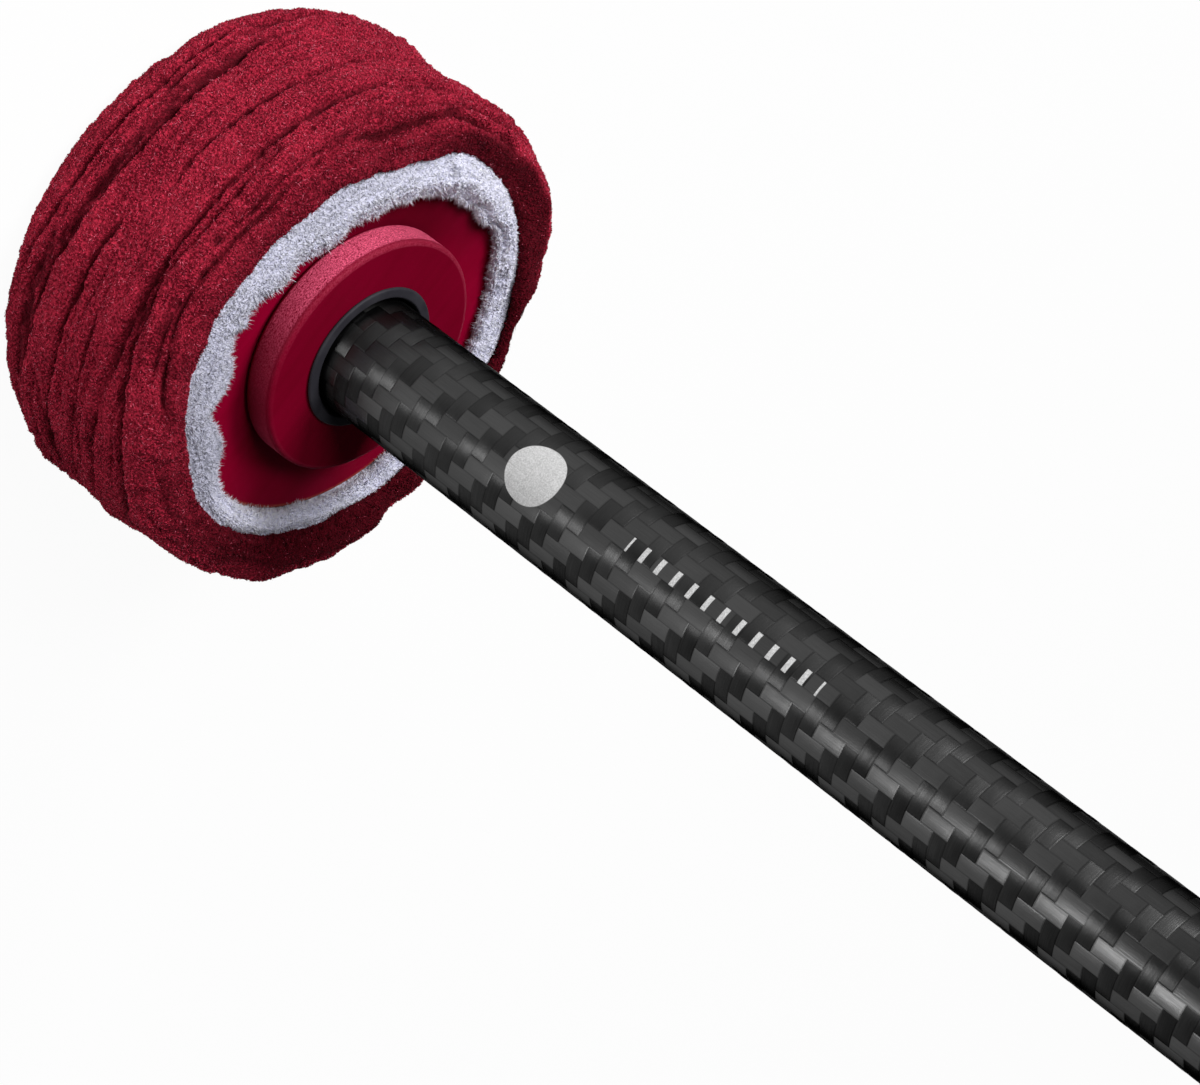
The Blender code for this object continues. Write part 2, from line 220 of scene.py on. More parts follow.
floor_finish = bpy.data.materials.new("floor_paper")
floor_finish.use_nodes = True
paper_tree = floor_finish.node_tree
paper_tree.nodes.clear()
paper = put(paper_tree, "BsdfDiffuse", {"Color": (0.82, 0.82, 0.82)})
glow = put(paper_tree, "Emission", {"Strength": 1.0})
camera_ray, glossy_ray, through_ray = (put(paper_tree, "LightPath", {}, f"Is {kind} Ray")
                                       for kind in ("Camera", "Glossy", "Transmission"))
seen = node_math("MAXIMUM", node_math("MAXIMUM", camera_ray, glossy_ray), through_ray)
blend = put(paper_tree, "MixShader", {"Fac": seen * FLOOR_WHITE, 1: paper, 2: glow})
plug(blend, paper_tree.nodes.new("ShaderNodeOutputMaterial").inputs["Surface"])

floor_mesh = bpy.data.meshes.new("floor")
floor_mesh.from_pydata([(-6, -6, 0), (6, -6, 0), (6, 6, 0), (-6, 6, 0)], [], [(0, 1, 2, 3)])
floor_mesh.materials.append(floor_finish)
floor = show("floor", floor_mesh)
print("floor and surround ready")

# %% [markdown]
# Most finishes here share a few effects: pile, wood grain, the streaks of a carbon tow and
# a fine skin. Each could be rebuilt in every material, but then no two would match. A
# shader node group is built once, has named inputs and outputs, and is placed in each
# material with its own values. The Principled shader itself stays in the material.

# %% Node groups and materials
WHITE = (1.0, 1.0, 1.0, 1.0)
BLACK = (0.0, 0.0, 0.0, 1.0)
DARK = (0.0, 0.0, 0.0)
ORIGIN = (0.0, 0.0, 0.0)


def new_group(name, inputs):
    """A shader node group with named inputs and their first values, and a wire from each."""
    group = bpy.data.node_groups.new(name, "ShaderNodeTree")
    for label, value in inputs.items():
        kind = {1: "Float", 3: "Vector", 4: "Color"}[np.size(value)]
        socket = group.interface.new_socket(label, in_out="INPUT", socket_type="NodeSocket" + kind)
        socket.default_value = value
    given = group.nodes.new("NodeGroupInput")
    return group, [Wire(group, given.outputs[label]) for label in inputs]


def end_group(group, **outputs):
    """Give the group named outputs and lead a wire to each."""
    kinds = {"Colour": "Color", "Normal": "Vector"}
    for label in outputs:
        group.interface.new_socket(label, in_out="OUTPUT",
                                   socket_type="NodeSocket" + kinds.get(label, "Float"))
    made = group.nodes.new("NodeGroupOutput")
    for label, value in outputs.items():
        plug(value, made.inputs[label])


def place_group(tree, group, values):
    """Put a group in a material with its own values, and give back its outputs by name."""
    node = tree.nodes.new("ShaderNodeGroup")
    node.node_tree = group
    for label, value in values.items():
        plug(value, node.inputs[label])
    return {socket.name: Wire(tree, socket) for socket in node.outputs}


def new_finish(name, **constants):
    """A material with a Principled shader and its constant values."""
    finish = bpy.data.materials.new(name)
    finish.use_nodes = True
    shader = finish.node_tree.nodes["Principled BSDF"]
    for label, value in constants.items():
        plug(value, shader.inputs[label.replace("_", " ")])
    return finish, finish.node_tree, shader


def dress(shader, effect, depth_mm, normal=None):
    """Lead an effect's colour and roughness to a shader, and its height by a Bump node.

    The height goes from 0 to 1, and stands for that many millimetres in all."""
    plug(effect["Colour"], shader.inputs["Base Color"])
    plug(effect.get("Roughness"), shader.inputs["Roughness"])
    raised = put(effect["Height"].tree, "Bump", {"Height": effect["Height"], "Normal": normal,
                                                 "Distance": depth_mm * MM}, "Normal")
    plug(raised, shader.inputs["Normal"])


def group_finish(name, group, depth_mm, values, stretch=None, **constants):
    """A material with a group's effect. A text among its values names a mesh attribute."""
    finish, tree, shader = new_finish(name, **constants)
    place = object_place(tree)
    inputs = {"Place": mapped(place, stretch) if stretch else place}
    for label, value in values.items():
        inputs[label] = read_number(tree, value) if isinstance(value, str) else value
    dress(shader, place_group(tree, group, inputs), depth_mm)
    return finish


print("group helpers ready")

# %% [markdown]
# Fleece is a knit with a short brushed pile. Up close it is a crowd of small tufts, bright
# where their tips catch the light and dark between them, with broad patches where the pile
# has been stroked one way. Real tufts come later as a mesh. The group gives the height of
# the pile under and on them, and paints its light into the colour: lit tips, shaded roots,
# and a painted sheen in broad patches.

# %% Pile group and fleece finishes
pile_group, (place, tip, root, fineness, patchiness, matting_and_shade) = new_group("Fleece pile", {
    "Place": ORIGIN, "Lit tip colour": WHITE, "Shaded root colour": BLACK, "Tufts per metre": 2200.0,
    "Patches per metre": 160.0, "Matted and shade": 0.0})
# Painted light at the size of the tufts: lit tips and shaded roots
tuft_share = ramp(noise(place, fineness, 2.0), 0.37, 0.63)
# Painted sheen: broad patches where stroked pile would catch the light
patch_share = ramp(noise(place, patchiness), 0.30, 0.70, -0.20, 0.20)
pile_colour = mix_colour(tuft_share + patch_share, root, tip)
# Matted pile and painted shade: towards the root colour, then towards black
pile_colour = mix_colour(matting_and_shade * 0.80, pile_colour, root)
pile_colour = mix_colour(matting_and_shade * 0.40, pile_colour, DARK)
end_group(pile_group, Colour=pile_colour, Height=tuft_share)


def fleece_finish(name, tip, root, sheen_tint, tufts_per_metre, depth_mm, matted_and_shade="matted_and_shade"):
    """A fleece material: the pile group's colour and height, with sheen for the fuzz."""
    values = {"Lit tip colour": tip, "Shaded root colour": root, "Tufts per metre": tufts_per_metre,
              "Matted and shade": matted_and_shade}
    return group_finish(name, pile_group, depth_mm, values, Roughness=0.95, Sheen_Weight=0.08,
                        Sheen_Roughness=0.5, Sheen_Tint=sheen_tint, Specular_IOR_Level=0.08)


# The tip and root colours carry painted light: lit tips, shaded roots
red_fleece = fleece_finish("red_fleece_pile", (0.47, 0.022, 0.052), (0.10, 0.001, 0.007),
                           (1.0, 0.12, 0.2), 3000.0, 0.25)
red_tufts = fleece_finish("red_fleece_tufts", (0.65, 0.036, 0.082), (0.14, 0.001, 0.009),
                          (1.0, 0.12, 0.2), 3600.0, 0.05)
loose_red = fleece_finish("red_loose_fibres", (0.80, 0.16, 0.24), (0.45, 0.03, 0.07),
                          (1.0, 0.5, 0.5), 900.0, 0.02, 0.0)
red_patch = fleece_finish("red_fleece_pressed", (0.40, 0.016, 0.040), (0.12, 0.003, 0.010),
                          (1.0, 0.35, 0.4), 1700.0, 0.15, 0.0)
white_fleece = fleece_finish("white_fleece_pile", (0.88, 0.88, 1.00), (0.74, 0.74, 0.92),
                             (1.0, 1.0, 1.0), 1900.0, 0.18)
white_tufts = fleece_finish("white_fleece_tufts", (0.95, 0.95, 1.0), (0.82, 0.82, 0.98),
                            (1.0, 1.0, 1.0), 2200.0, 0.05)
print("fleece finishes:", red_fleece.name, white_fleece.name)

# %% [markdown]
# Every new surface here is a grid of points: rows run along a profile, columns run round
# the mallet's axis. Working the grid out as one array keeps the formula in one place and
# lets a fold or a weave be added as another array of the same shape.

# %% Helpers that turn grids into meshes
def mesh_piece(name, points_mm, faces, finishes):
    """A mesh object at the origin from arrays of faces, which are turned outwards."""
    points = points_mm.reshape(-1, 3) * MM
    volume = 0.0
    for part in faces:
        for step in range(1, part.shape[1] - 1):
            a, b, c = points[part[:, 0]], points[part[:, step]], points[part[:, step + 1]]
            volume += np.einsum("ij,ij->i", a, np.cross(b, c)).sum() / 6
    if volume < 0:
        faces = [part[:, ::-1] for part in faces]
    mesh = bpy.data.meshes.new(name)
    mesh.from_pydata(points, [], [face for part in faces for face in part.tolist()], False)
    mesh.validate()
    for finish in finishes:
        mesh.materials.append(finish)
    print(name, "faces:", len(mesh.polygons), "volume in ml:", round(abs(volume) * 1e6, 2))
    return show(name, mesh)


def grid_piece(name, points, closed, finishes, sharp_degrees=None):
    """A smooth mesh from a grid of points whose columns close round the axis.

    Its rows close too where the profile is a loop. Elsewhere a point on the axis and a fan
    of triangles close each end. Edges steeper than the angle stay sharp."""
    rows, columns = points.shape[:2]
    row = np.arange(rows if closed else rows - 1)[:, None]
    column = np.arange(columns)
    after, beside = (row + 1) % rows, (column + 1) % columns
    faces = [np.stack([row * columns + column, row * columns + beside,
                       after * columns + beside, after * columns + column], -1).reshape(-1, 4)]
    flat = points.reshape(-1, 3)
    if not closed:
        flat = np.concatenate([flat, points[[0, -1]].mean(1) * (0, 0, 1)])
        last = (rows - 1) * columns
        low_pole = np.full(columns, rows * columns)
        fans = ([low_pole, beside, column], [low_pole + 1, last + column, last + beside])
        faces += [np.concatenate([np.stack(fan, 1) for fan in fans])]
    thing = mesh_piece(name, flat, faces, finishes)
    thing.data.shade_smooth()
    if sharp_degrees:
        thing.data.set_sharp_from_angle(angle=np.radians(sharp_degrees))
    return thing


def store_number(thing, name, values, domain="POINT"):
    """Put one number on every point or face of a mesh."""
    numbers = thing.data.attributes.new(name, "FLOAT", domain)
    numbers.data.foreach_set("value", np.asarray(values, np.float32).ravel())


def seat(thing, slot_name, *nodes):
    """Ride on the mallet's one body and stand for the CAD nodes, which it hides. The slot name is
    not used.
    """
    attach(thing, "root")
    if nodes:
        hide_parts(*nodes)


def bow(centre_r, centre_z, radius, start, end, steps):
    """Points of an arc, its angles in degrees. The last one is left to what comes next."""
    angle = np.radians(np.linspace(start, end, steps + 1))[:-1, None]
    round_centre = np.concatenate([np.cos(angle), np.sin(angle)], 1)
    return np.array([centre_r, centre_z]) + radius * round_centre


def path(*stops):
    """Points on straight lines: corners, with the number of steps between them, less the last."""
    lines = []
    for start, steps, end in zip(stops[:-2:2], stops[1::2], stops[2::2]):
        share_along = np.arange(steps)[:, None] / steps
        lines.append(np.array(start) + (np.array(end) - np.array(start)) * share_along)
    return np.concatenate(lines)


def unit(vectors):
    """The same directions with a length of one."""
    return vectors / np.linalg.norm(vectors, axis=-1, keepdims=True)


def around(columns, turn=TURN):
    """The angle of every column."""
    return np.arange(columns) / columns * turn


def round_axis(radius, height, columns):
    """Carry radii and heights round the axis: x = r cos a, y = r sin a, z = height."""
    angle = around(columns)
    x, y = radius * np.cos(angle), radius * np.sin(angle)
    return np.stack([x, y, np.broadcast_to(height, x.shape)], -1)


def wander(rows, columns, row_step, column_step, row_size, column_size, seed):
    """Random heights that change smoothly over a given size and repeat both ways.

    White noise is multiplied by a bell curve in the frequency domain, then scaled so that
    its spread is one."""
    random = np.random.default_rng(seed)
    waves = np.fft.rfft2(random.standard_normal((rows, columns)))
    per_row = np.fft.fftfreq(rows, row_step)[:, None]
    per_column = np.fft.rfftfreq(columns, column_step)[None, :]
    waves *= np.exp(-((per_row * row_size) ** 2 + (per_column * column_size) ** 2) * 4)
    field = np.fft.irfft2(waves, s=(rows, columns))
    return (field - field.mean()) / field.std()


def wander_round(columns, step, size, seed):
    """One row of such heights, round the axis."""
    return wander(1, columns, 1.0, step, 0.0, size, seed)[0]


def ring_values(points, columns, soften=2.0):
    """A value at every column from given (degrees, value) points, eased between them."""
    degrees, values = np.array(points, float).T
    order = np.argsort(degrees)
    straight = np.interp(around(columns, 360), degrees[order], values[order], period=360)
    frequency = np.fft.rfftfreq(columns, 360 / columns)
    return np.fft.irfft(np.fft.rfft(straight) * np.exp(-(frequency * soften) ** 2 * 10), columns)


def band(rows, *parts):
    """A weight for every row: 0, but a value from the first row to the last of each part."""
    weight = np.zeros((rows, 1))
    for first, last, value in parts:
        weight[first:last, 0] = value
    return weight


def bell(values, middle, width):
    """A soft bump: exp(-((value - middle) / width)^2)."""
    return np.exp(-((values - middle) / width) ** 2)


print("mesh helpers ready")

# %% [markdown]
# The red cover is one strip of fleece, wrapped round the drum, pressed into laps and folds
# that run round the head, and rolled at the lip. It could be draped by a cloth simulation,
# but where the folds lie is the look of this mallet, so they are placed one by one: each is a
# line round the wall, a crease with a rounded lap on its shaft side.

# %% Folds of the red cover
# Each fold: crease depth, lap height and width in mm, then (degrees, mm above the nose).
# The lap is above the crease, or below it where its height is negative.
FOLD_LINES = [
    (1.30, 0.75, 0.55, [(195, 8.8), (215, 8.9), (225, 9.0), (235, 9.3), (245, 10.0), (255, 10.7),
        (262, 11.1), (270, 10.7), (280, 10.2), (287, 9.5), (293, 8.5), (298, 8.1), (305, 8.1),
        (312, 7.8), (320, 7.2), (330, 6.8), (350, 6.6), (30, 7.8), (80, 8.8), (120, 9.6),
        (160, 8.4)]),
    (0.75, 0.00, 1.20, [(225, 8.2), (240, 8.9), (250, 9.4), (262, 9.9), (275, 9.3), (288, 8.3),
        (298, 7.0), (312, 6.7), (325, 6.0)]),
    (1.00, 0.45, 0.50, [(165, 5.6), (190, 6.3), (216, 5.9), (222, 5.5), (230, 5.0), (240, 5.3),
        (250, 5.6), (260, 5.7), (270, 6.0), (280, 5.6), (287, 5.0), (295, 4.2), (303, 3.6)]),
    (0.55, -0.20, 0.40, [(214, 6.3), (230, 5.9), (250, 6.2), (270, 6.5), (290, 5.9), (303, 5.0)]),
    (1.25, 0.65, 0.55, [(280, 14.7), (288, 14.3), (295, 13.9), (300, 13.6), (310, 13.5),
        (315, 13.3), (320, 12.9), (330, 12.1), (340, 11.5), (350, 10.6)]),
    (0.60, -0.25, 0.45, [(170, 13.2), (205, 13.6), (218, 13.7), (235, 13.2), (250, 13.6),
        (266, 14.2)]),
    (0.75, 0.30, 0.50, [(165, 18.4), (200, 17.9), (212, 17.9), (222, 18.3), (238, 18.0),
        (248, 18.0)]),
    (0.80, -0.30, 0.45, [(175, 16.2), (208, 16.9), (220, 17.3), (236, 16.9), (252, 16.7),
        (266, 17.2)]),
    (0.85, -0.45, 0.45, [(160, 26.6), (185, 26.0), (203, 25.4), (208, 24.3), (213, 23.5),
        (218, 23.0), (230, 22.8), (240, 22.8), (250, 23.0), (262, 23.1), (272, 23.4), (282, 22.9),
        (292, 22.8), (302, 22.3), (312, 21.4)]),
    (0.70, 0.30, 0.42, [(188, 22.6), (205, 22.4), (218, 23.6), (232, 24.0), (245, 24.0),
        (255, 24.2), (265, 24.3), (272, 24.4), (280, 23.8), (288, 23.4)]),
    (0.95, 0.45, 0.45, [(178, 28.6), (190, 29.0), (199, 28.6), (204, 27.6), (208, 26.8),
        (213, 26.0), (220, 25.7), (230, 25.8), (240, 26.1), (250, 26.0), (262, 26.0), (270, 25.8),
        (277, 25.0), (283, 24.6)]),
    (0.70, 0.25, 0.42, [(190, 27.3), (208, 25.8), (216, 25.0), (228, 24.8), (240, 24.9),
        (252, 25.0)]),
    (1.70, 0.75, 0.72, [(283, 24.8), (290, 24.9), (300, 25.2), (307, 25.6), (315, 26.1),
        (322, 26.4), (330, 26.2), (340, 25.0), (348, 23.6), (355, 21.8)]),
    (0.80, 0.40, 0.34, [(236, 29.5), (245, 29.2), (250, 29.4), (258, 29.6), (266, 29.2),
        (275, 28.8), (283, 28.6), (290, 28.8), (297, 29.3), (303, 29.8), (310, 30.2)]),
    (0.90, -0.30, 0.40, [(226, 28.4), (238, 28.1), (250, 28.2), (262, 27.9), (272, 27.3),
        (282, 27.2), (292, 27.5), (302, 28.0)]),
    (1.30, 0.60, 0.38, [(178, 30.1), (188, 30.1), (196, 29.9), (203, 29.5), (210, 29.6),
        (217, 29.9), (225, 29.7), (234, 29.3)]),
    (0.90, 0.35, 0.40, [(203, 28.9), (211, 28.2), (219, 27.8), (228, 27.9), (234, 27.7),
        (240, 26.9), (245, 26.5)]),
    (0.70, 0.30, 0.38, [(198, 28.4), (205, 27.5), (209, 26.3), (213, 24.8), (219, 24.3),
        (227, 24.2), (234, 24.1)]),
    (0.55, 0.25, 0.42, [(290, 23.9), (300, 24.1), (312, 24.4), (325, 24.2), (337, 23.2)]),
    (0.90, 0.40, 0.50, [(314, 21.6), (325, 20.7), (332, 20.2), (338, 19.5), (345, 18.4),
        (355, 17.0)]),
    (0.60, 0.25, 0.45, [(298, 18.9), (310, 18.3), (322, 17.6), (335, 16.3), (347, 14.8)]),
    (0.55, 0.25, 0.45, [(304, 20.3), (316, 19.6), (328, 18.6), (340, 17.2)]),
    (0.90, 0.50, 0.50, [(10, 23.5), (40, 22.2), (75, 23.0), (110, 23.8), (150, 22.6),
        (185, 23.2)]),
    (0.70, 0.45, 0.45, [(350, 15.5), (25, 16.8), (60, 16.0), (100, 17.4), (135, 16.4),
        (175, 17.0)]),
    (0.90, 0.40, 0.50, [(5, 26.8), (50, 27.4), (95, 26.4), (140, 27.6), (180, 26.6)]),
    (0.60, 0.35, 0.45, [(355, 12.0), (45, 12.8), (90, 13.4), (130, 12.2), (165, 13.0)]),
    (0.55, 0.30, 0.45, [(20, 4.6), (70, 5.2), (120, 4.4), (170, 4.8), (215, 4.0)]),
    (0.80, 0.35, 0.45, [(15, 20.2), (60, 19.4), (115, 20.6), (160, 19.8)]),
]
FADE_DEGREES = 9.0               # over which an open fold dies out at its ends
LAP_LENGTH = 2.2                 # how far from the crease a lap stays raised, in mm
CLOSED_HALF = 150                # a line that reaches further than this each way has no ends


def fold_relief(height, columns, column_step):
    """How far the cover stands out at each height and angle.

    A fold's depth and line waver a little along it, as the pile parts unevenly.
    Each fold takes off depth x exp(-(d/w + 1/2)^2), where d is the height above its line
    and w its width. Above the line it adds a lap that starts with a soft step and falls off
    as exp(-d / LAP_LENGTH), with a crest along it. A negative lap is upside down. A fold
    that doesn't close fades out at its ends."""
    angle = around(columns, 360)
    relief = np.zeros((len(height), columns))
    for depth, lap, width, line in FOLD_LINES:
        seed = int(10 * line[0][1]) + len(line)
        broken = np.clip(wander_round(columns, column_step, 0.8, seed), -1.6, 1.6)
        line_height = ring_values(line, columns, 1.2)
        line_height = line_height + wander_round(columns, column_step, 3.0, seed + 1) * 0.10
        degrees = np.array([point[0] for point in line], float)
        degrees[degrees < degrees[0] - 1] += 360
        middle = (degrees[0] + degrees[-1]) / 2
        half = (degrees[-1] - degrees[0]) / 2
        off = np.abs((angle - middle + 180) % 360 - 180)
        strength = np.clip((half - off) / FADE_DEGREES + 0.5, 0, 1)
        if half > CLOSED_HALF:
            strength[:] = 1.0
        apart = (height - line_height) * (1 if lap >= 0 else -1)
        crease = -(depth * (1.10 + 0.12 * broken)) * bell(apart, -0.5 * width, width)
        edge = 1 / (1 + np.exp(-(apart - 0.1) / 0.12))
        raised = abs(lap) * edge * np.exp(-np.maximum(apart, 0) / LAP_LENGTH)
        raised = raised + 0.35 * abs(lap) * bell(apart, 0.30, 0.28)
        relief += strength * (crease + raised)
    return relief


print("folds:", len(FOLD_LINES))

# %% Cover profile
COVER_COLUMNS = 560
INSIDE_ROWS, LIP_ROWS, SHOULDER_ROWS, WALL_ROWS = 10, 7, 19, 92
DRUM_RADIUS = 34.3

# (radius, height) points in mm, up the inside, over the lip, down the wall and in at the nose
cover_profile = np.concatenate([
    path((29.5, 2.4), INSIDE_ROWS, (29.5, 29.0)),
    bow(29.35, 29.85, 0.80, 270, 95, LIP_ROWS),
    bow(29.4, 25.8, 4.9, 90, 20, SHOULDER_ROWS),
    path((34.2, 26.9), WALL_ROWS, (DRUM_RADIUS, 3.9)),
    bow(30.8, 3.9, 3.5, 0, -90, 15),
    path((30.8, 0.4), 14, (23.8, 0.4), 3, (23.8, 2.4), 5, (29.5, 2.4)),
])
cover_rows = len(cover_profile)
cover_height = cover_profile[:, 1:2]
lip_first = INSIDE_ROWS
wall_first = lip_first + LIP_ROWS + SHOULDER_ROWS
wall_last = wall_first + WALL_ROWS
column_mm = TURN * DRUM_RADIUS / COVER_COLUMNS

# How far the lip leans in over the liner at each angle, in mm
LIP_LEAN = [(0, 0.5), (20, 0.9), (30, 1.2), (40, 1.2), (50, 1.7), (70, 1.8), (90, 1.0),
            (110, 0.2), (120, 0.6), (140, 0.8), (160, 0.6), (180, 0.8), (200, 0.9), (210, 1.8),
            (220, 2.4), (230, 1.7), (238, 0.5), (250, 0.7), (262, 0.2), (270, 0.0),
            (280, -0.7), (310, -0.5), (320, 0.1), (330, 0.6), (345, 0.4)]
# How far the wall's upper half stands in or out at each angle, in mm
UPPER_WALL = [(0, 0.0), (55, 0.3), (70, -0.4), (100, -1.2), (112, -1.9), (122, -2.0),
              (132, -1.3), (142, 0.0), (160, 0.5), (180, 0.3), (200, 0.0), (240, 0.0),
              (300, 0.0), (340, 0.3)]

# Folds fade in over a few rows at the lip and out at the nose
fade_in = np.linspace(0.1, 1.0, 7)
folds_first, folds_last = wall_first - 12, wall_last + 9
fold_weight = band(cover_rows, (folds_first - 7, folds_first, fade_in),
                   (folds_first, folds_last, 1.0), (folds_last, folds_last + 7, fade_in[::-1]))
fuzz_weight = band(cover_rows, (lip_first, wall_last + 15, 1.0),
                   (wall_last + 15, wall_last + 29, 0.25))
print("cover grid:", cover_rows, "by", COVER_COLUMNS)


# %% Folds, wrinkles and bulges of the cover
def ripple(down_mm, round_mm, seed):
    """Random heights on the cover's grid that change over those sizes down and round it."""
    return wander(cover_rows, COVER_COLUMNS, 0.25, column_mm, down_mm, round_mm, seed)


def cover_ring(points, soften):
    """A value for every column of the cover."""
    return ring_values(points, COVER_COLUMNS, soften)


def cover_band(points, left=None):
    """A value for every row of the cover, from (row, value) points."""
    rows, values = np.array(points, float).T
    return np.interp(np.arange(cover_rows), rows, values, left=left)[:, None]


def wrinkles(depth, down_mm, round_mm, seed, patch_down, patch_round, patch_seed, share, most):
    """Narrow creases where random heights cross zero, in random patches."""
    heights = ripple(down_mm, round_mm, seed)
    here = np.clip(ripple(patch_down, patch_round, patch_seed) + share, 0, most)
    return heights, -depth * here * bell(heights, 0, 0.20)


relief = fold_relief(cover_height, COVER_COLUMNS, column_mm) * fold_weight
relief *= 1 + 0.28 * np.clip(ripple(0.7, 1.0, 10), -1.5, 1.5)
long_waves, creases = wrinkles(0.45, 2.2, 26.0, 6, 8.0, 30.0, 7, 0.3, 1.3)
creases = creases + 0.12 * np.abs(long_waves)
creases = creases + wrinkles(0.34, 1.2, 12.0, 8, 7.0, 14.0, 9, 0.2, 1.2)[1]
relief_of_folds = relief + creases * fold_weight
broad = ripple(5.0, 16.0, 3) * 0.24
streaks = ripple(1.0, 9.0, 4) * 0.10
lumps = ripple(0.6, 0.9, 5) * 0.075
relief += (broad + streaks + creases) * fold_weight + lumps * fuzz_weight

mid_wall = bell(cover_height, 15.0, 9.0)
out_of_round = cover_ring([(0, 1.0), (60, 0.3), (120, -0.2), (180, -0.7), (215, -0.2),
                           (270, 0.1), (310, 0.1), (330, 0.4), (345, 1.1)], 6.0)
relief += mid_wall * out_of_round * fold_weight
upper_share = np.clip((cover_height - 14.0) / 10.0, 0, 1)
relief += upper_share * cover_ring(UPPER_WALL, 3.0) * fold_weight
nose_share = bell(cover_height, 1.5, 2.5) * fold_weight
relief -= nose_share * cover_ring([(0, 0.3), (180, 0.3), (205, 0.9), (225, 0.3)], 6.0)
print("relief in mm:", round(relief.min(), 2), "to", round(relief.max(), 2))

# %% Lip of the cover and the whole surface
looped = np.concatenate([cover_profile[-1:], cover_profile, cover_profile[:1]])
slope = unit(np.gradient(looped, axis=0)[1:-1])
outward = np.stack([-slope[:, 1], slope[:, 0]], 1)
lip_share = cover_band([(9, 0.5), (13, 1.0), (18, 1.0), (wall_first - 3, 0.0)], 0.0)
# On the -X side the lip falls away inside a sharp crest, and all round it is scalloped
crested = cover_ring([(120, 0.0), (150, 0.6), (172, 1.0), (190, 0.9), (200, 0.5), (208, 0.15),
                      (215, 0.0)], 2.0)
crest_fall = cover_band([(13, 1.0), (19, 1.0), (24, 0.0)]) * crested
crest_line = bell(np.arange(cover_rows)[:, None], 25.0, 1.3) * crested
scalloped = cover_band([(12, 0.0), (18, 1.0), (30, 1.0), (44, 0.0)])
scallops = wander_round(COVER_COLUMNS, column_mm, 4.5, 16)
relief += scalloped * scallops * 0.28 + crest_line * 0.55
cover_r = cover_profile[:, 0:1] + outward[:, 0:1] * relief - lip_share * cover_ring(LIP_LEAN, 2.5)
cover_z = np.maximum(cover_profile[:, 1:2] + outward[:, 1:2] * relief, 0.15) - 1.1 * crest_fall
cover_points = round_axis(cover_r, cover_z, COVER_COLUMNS)

# The inside of the lip is darkened, most of all on the +Y side: matted pile with painted shade
matted_rows = cover_band([(0, 1.0), (24, 1.0), (28, 0.3), (wall_first - 1, 0.0)])
crest_rows = cover_band([(0, 1.0), (23.5, 1.0), (25, 0.15), (26, 0.0)])
matted_rows = matted_rows + (crest_rows - matted_rows) * np.clip(crested * 1.5, 0, 1)
matted_and_shade = matted_rows * cover_ring([(0, 0.9), (60, 1.0), (120, 1.0), (190, 0.9), (215, 0.35),
                                   (330, 0.35), (350, 0.7)], 4.0)
# Down in a crease the pile is darkened too: painted shade
crease_share = np.clip((-relief_of_folds - 0.18) / 0.55, 0, 1) * fold_weight
matted_and_shade = np.maximum(matted_and_shade, crease_share)

cover = grid_piece("cover_fleece", cover_points, True, [red_fleece])
store_number(cover, "matted_and_shade", matted_and_shade)
seat(cover, "red_fleece", "red_cover")

# %% [markdown]
# Tufts make the difference between cloth and painted clay: they break the outline, shade
# each other and catch the light at their tips. Hair curves could make them, but they export
# poorly. Small closed spikes of four faces, leaned at random and spread evenly over the
# grid's area, are light enough to have tens of thousands.

# %% Tufts
def grow_tufts(name, slot_name, points, weight, count, length, width, lean, seed, finish,
               matting_and_shade=None, comb=0.0):
    """Closed three-sided spikes on a grid of points, combed down its rows, or up if negative.

    Grid cells are drawn with a chance of area x weight. In the drawn cell the root is
    p = a + s (b - a) + t (d - a), and the tip is p + length x (cos(lean) n + sin(lean) d),
    where n is the surface's normal and d a random direction along it."""
    random = np.random.default_rng(seed)
    a = points[:-1]
    b = np.roll(points, -1, 1)[:-1]
    d = points[1:]
    cross = np.cross(b - a, d - a)
    chance = (np.linalg.norm(cross, axis=-1) * weight).ravel()
    cell = random.choice(chance.size, count, p=chance / chance.sum())
    a, b, d, normal = (part.reshape(-1, 3)[cell] for part in (a, b, d, cross))
    normal = unit(normal)
    across, along = random.random((2, count, 1))
    root = a + across * (b - a) + along * (d - a)
    side = unit(b - a)
    other = np.cross(normal, side)
    heading = random.random((count, 1)) * TURN
    direction = side * np.cos(heading) + other * np.sin(heading)
    direction = unit(direction * (1 - abs(comb)) + other * comb)
    tilt = np.radians(lean * (0.5 + random.random((count, 1))))
    reach = length * (0.55 + 0.9 * random.random((count, 1)))
    tip = root + reach * (np.cos(tilt) * normal + np.sin(tilt) * direction)
    radius = width * (0.7 + 0.6 * random.random((count, 1)))
    foot = root - normal * 0.12
    turns = [heading + step * TURN / 3 for step in range(3)]
    corners = [foot + radius * (np.cos(turn) * side + np.sin(turn) * other) for turn in turns]
    spike = np.array([(0, 2, 1), (0, 1, 3), (1, 2, 3), (2, 0, 3)])
    faces = (np.arange(count)[:, None] * 4 + spike[:, None]).reshape(-1, 3)
    thing = mesh_piece(name, np.stack([*corners, tip], 1), [faces], [finish])
    if matting_and_shade is not None:
        store_number(thing, "matted_and_shade", np.repeat(matting_and_shade[:-1].ravel()[cell], 4))
    seat(thing, slot_name)


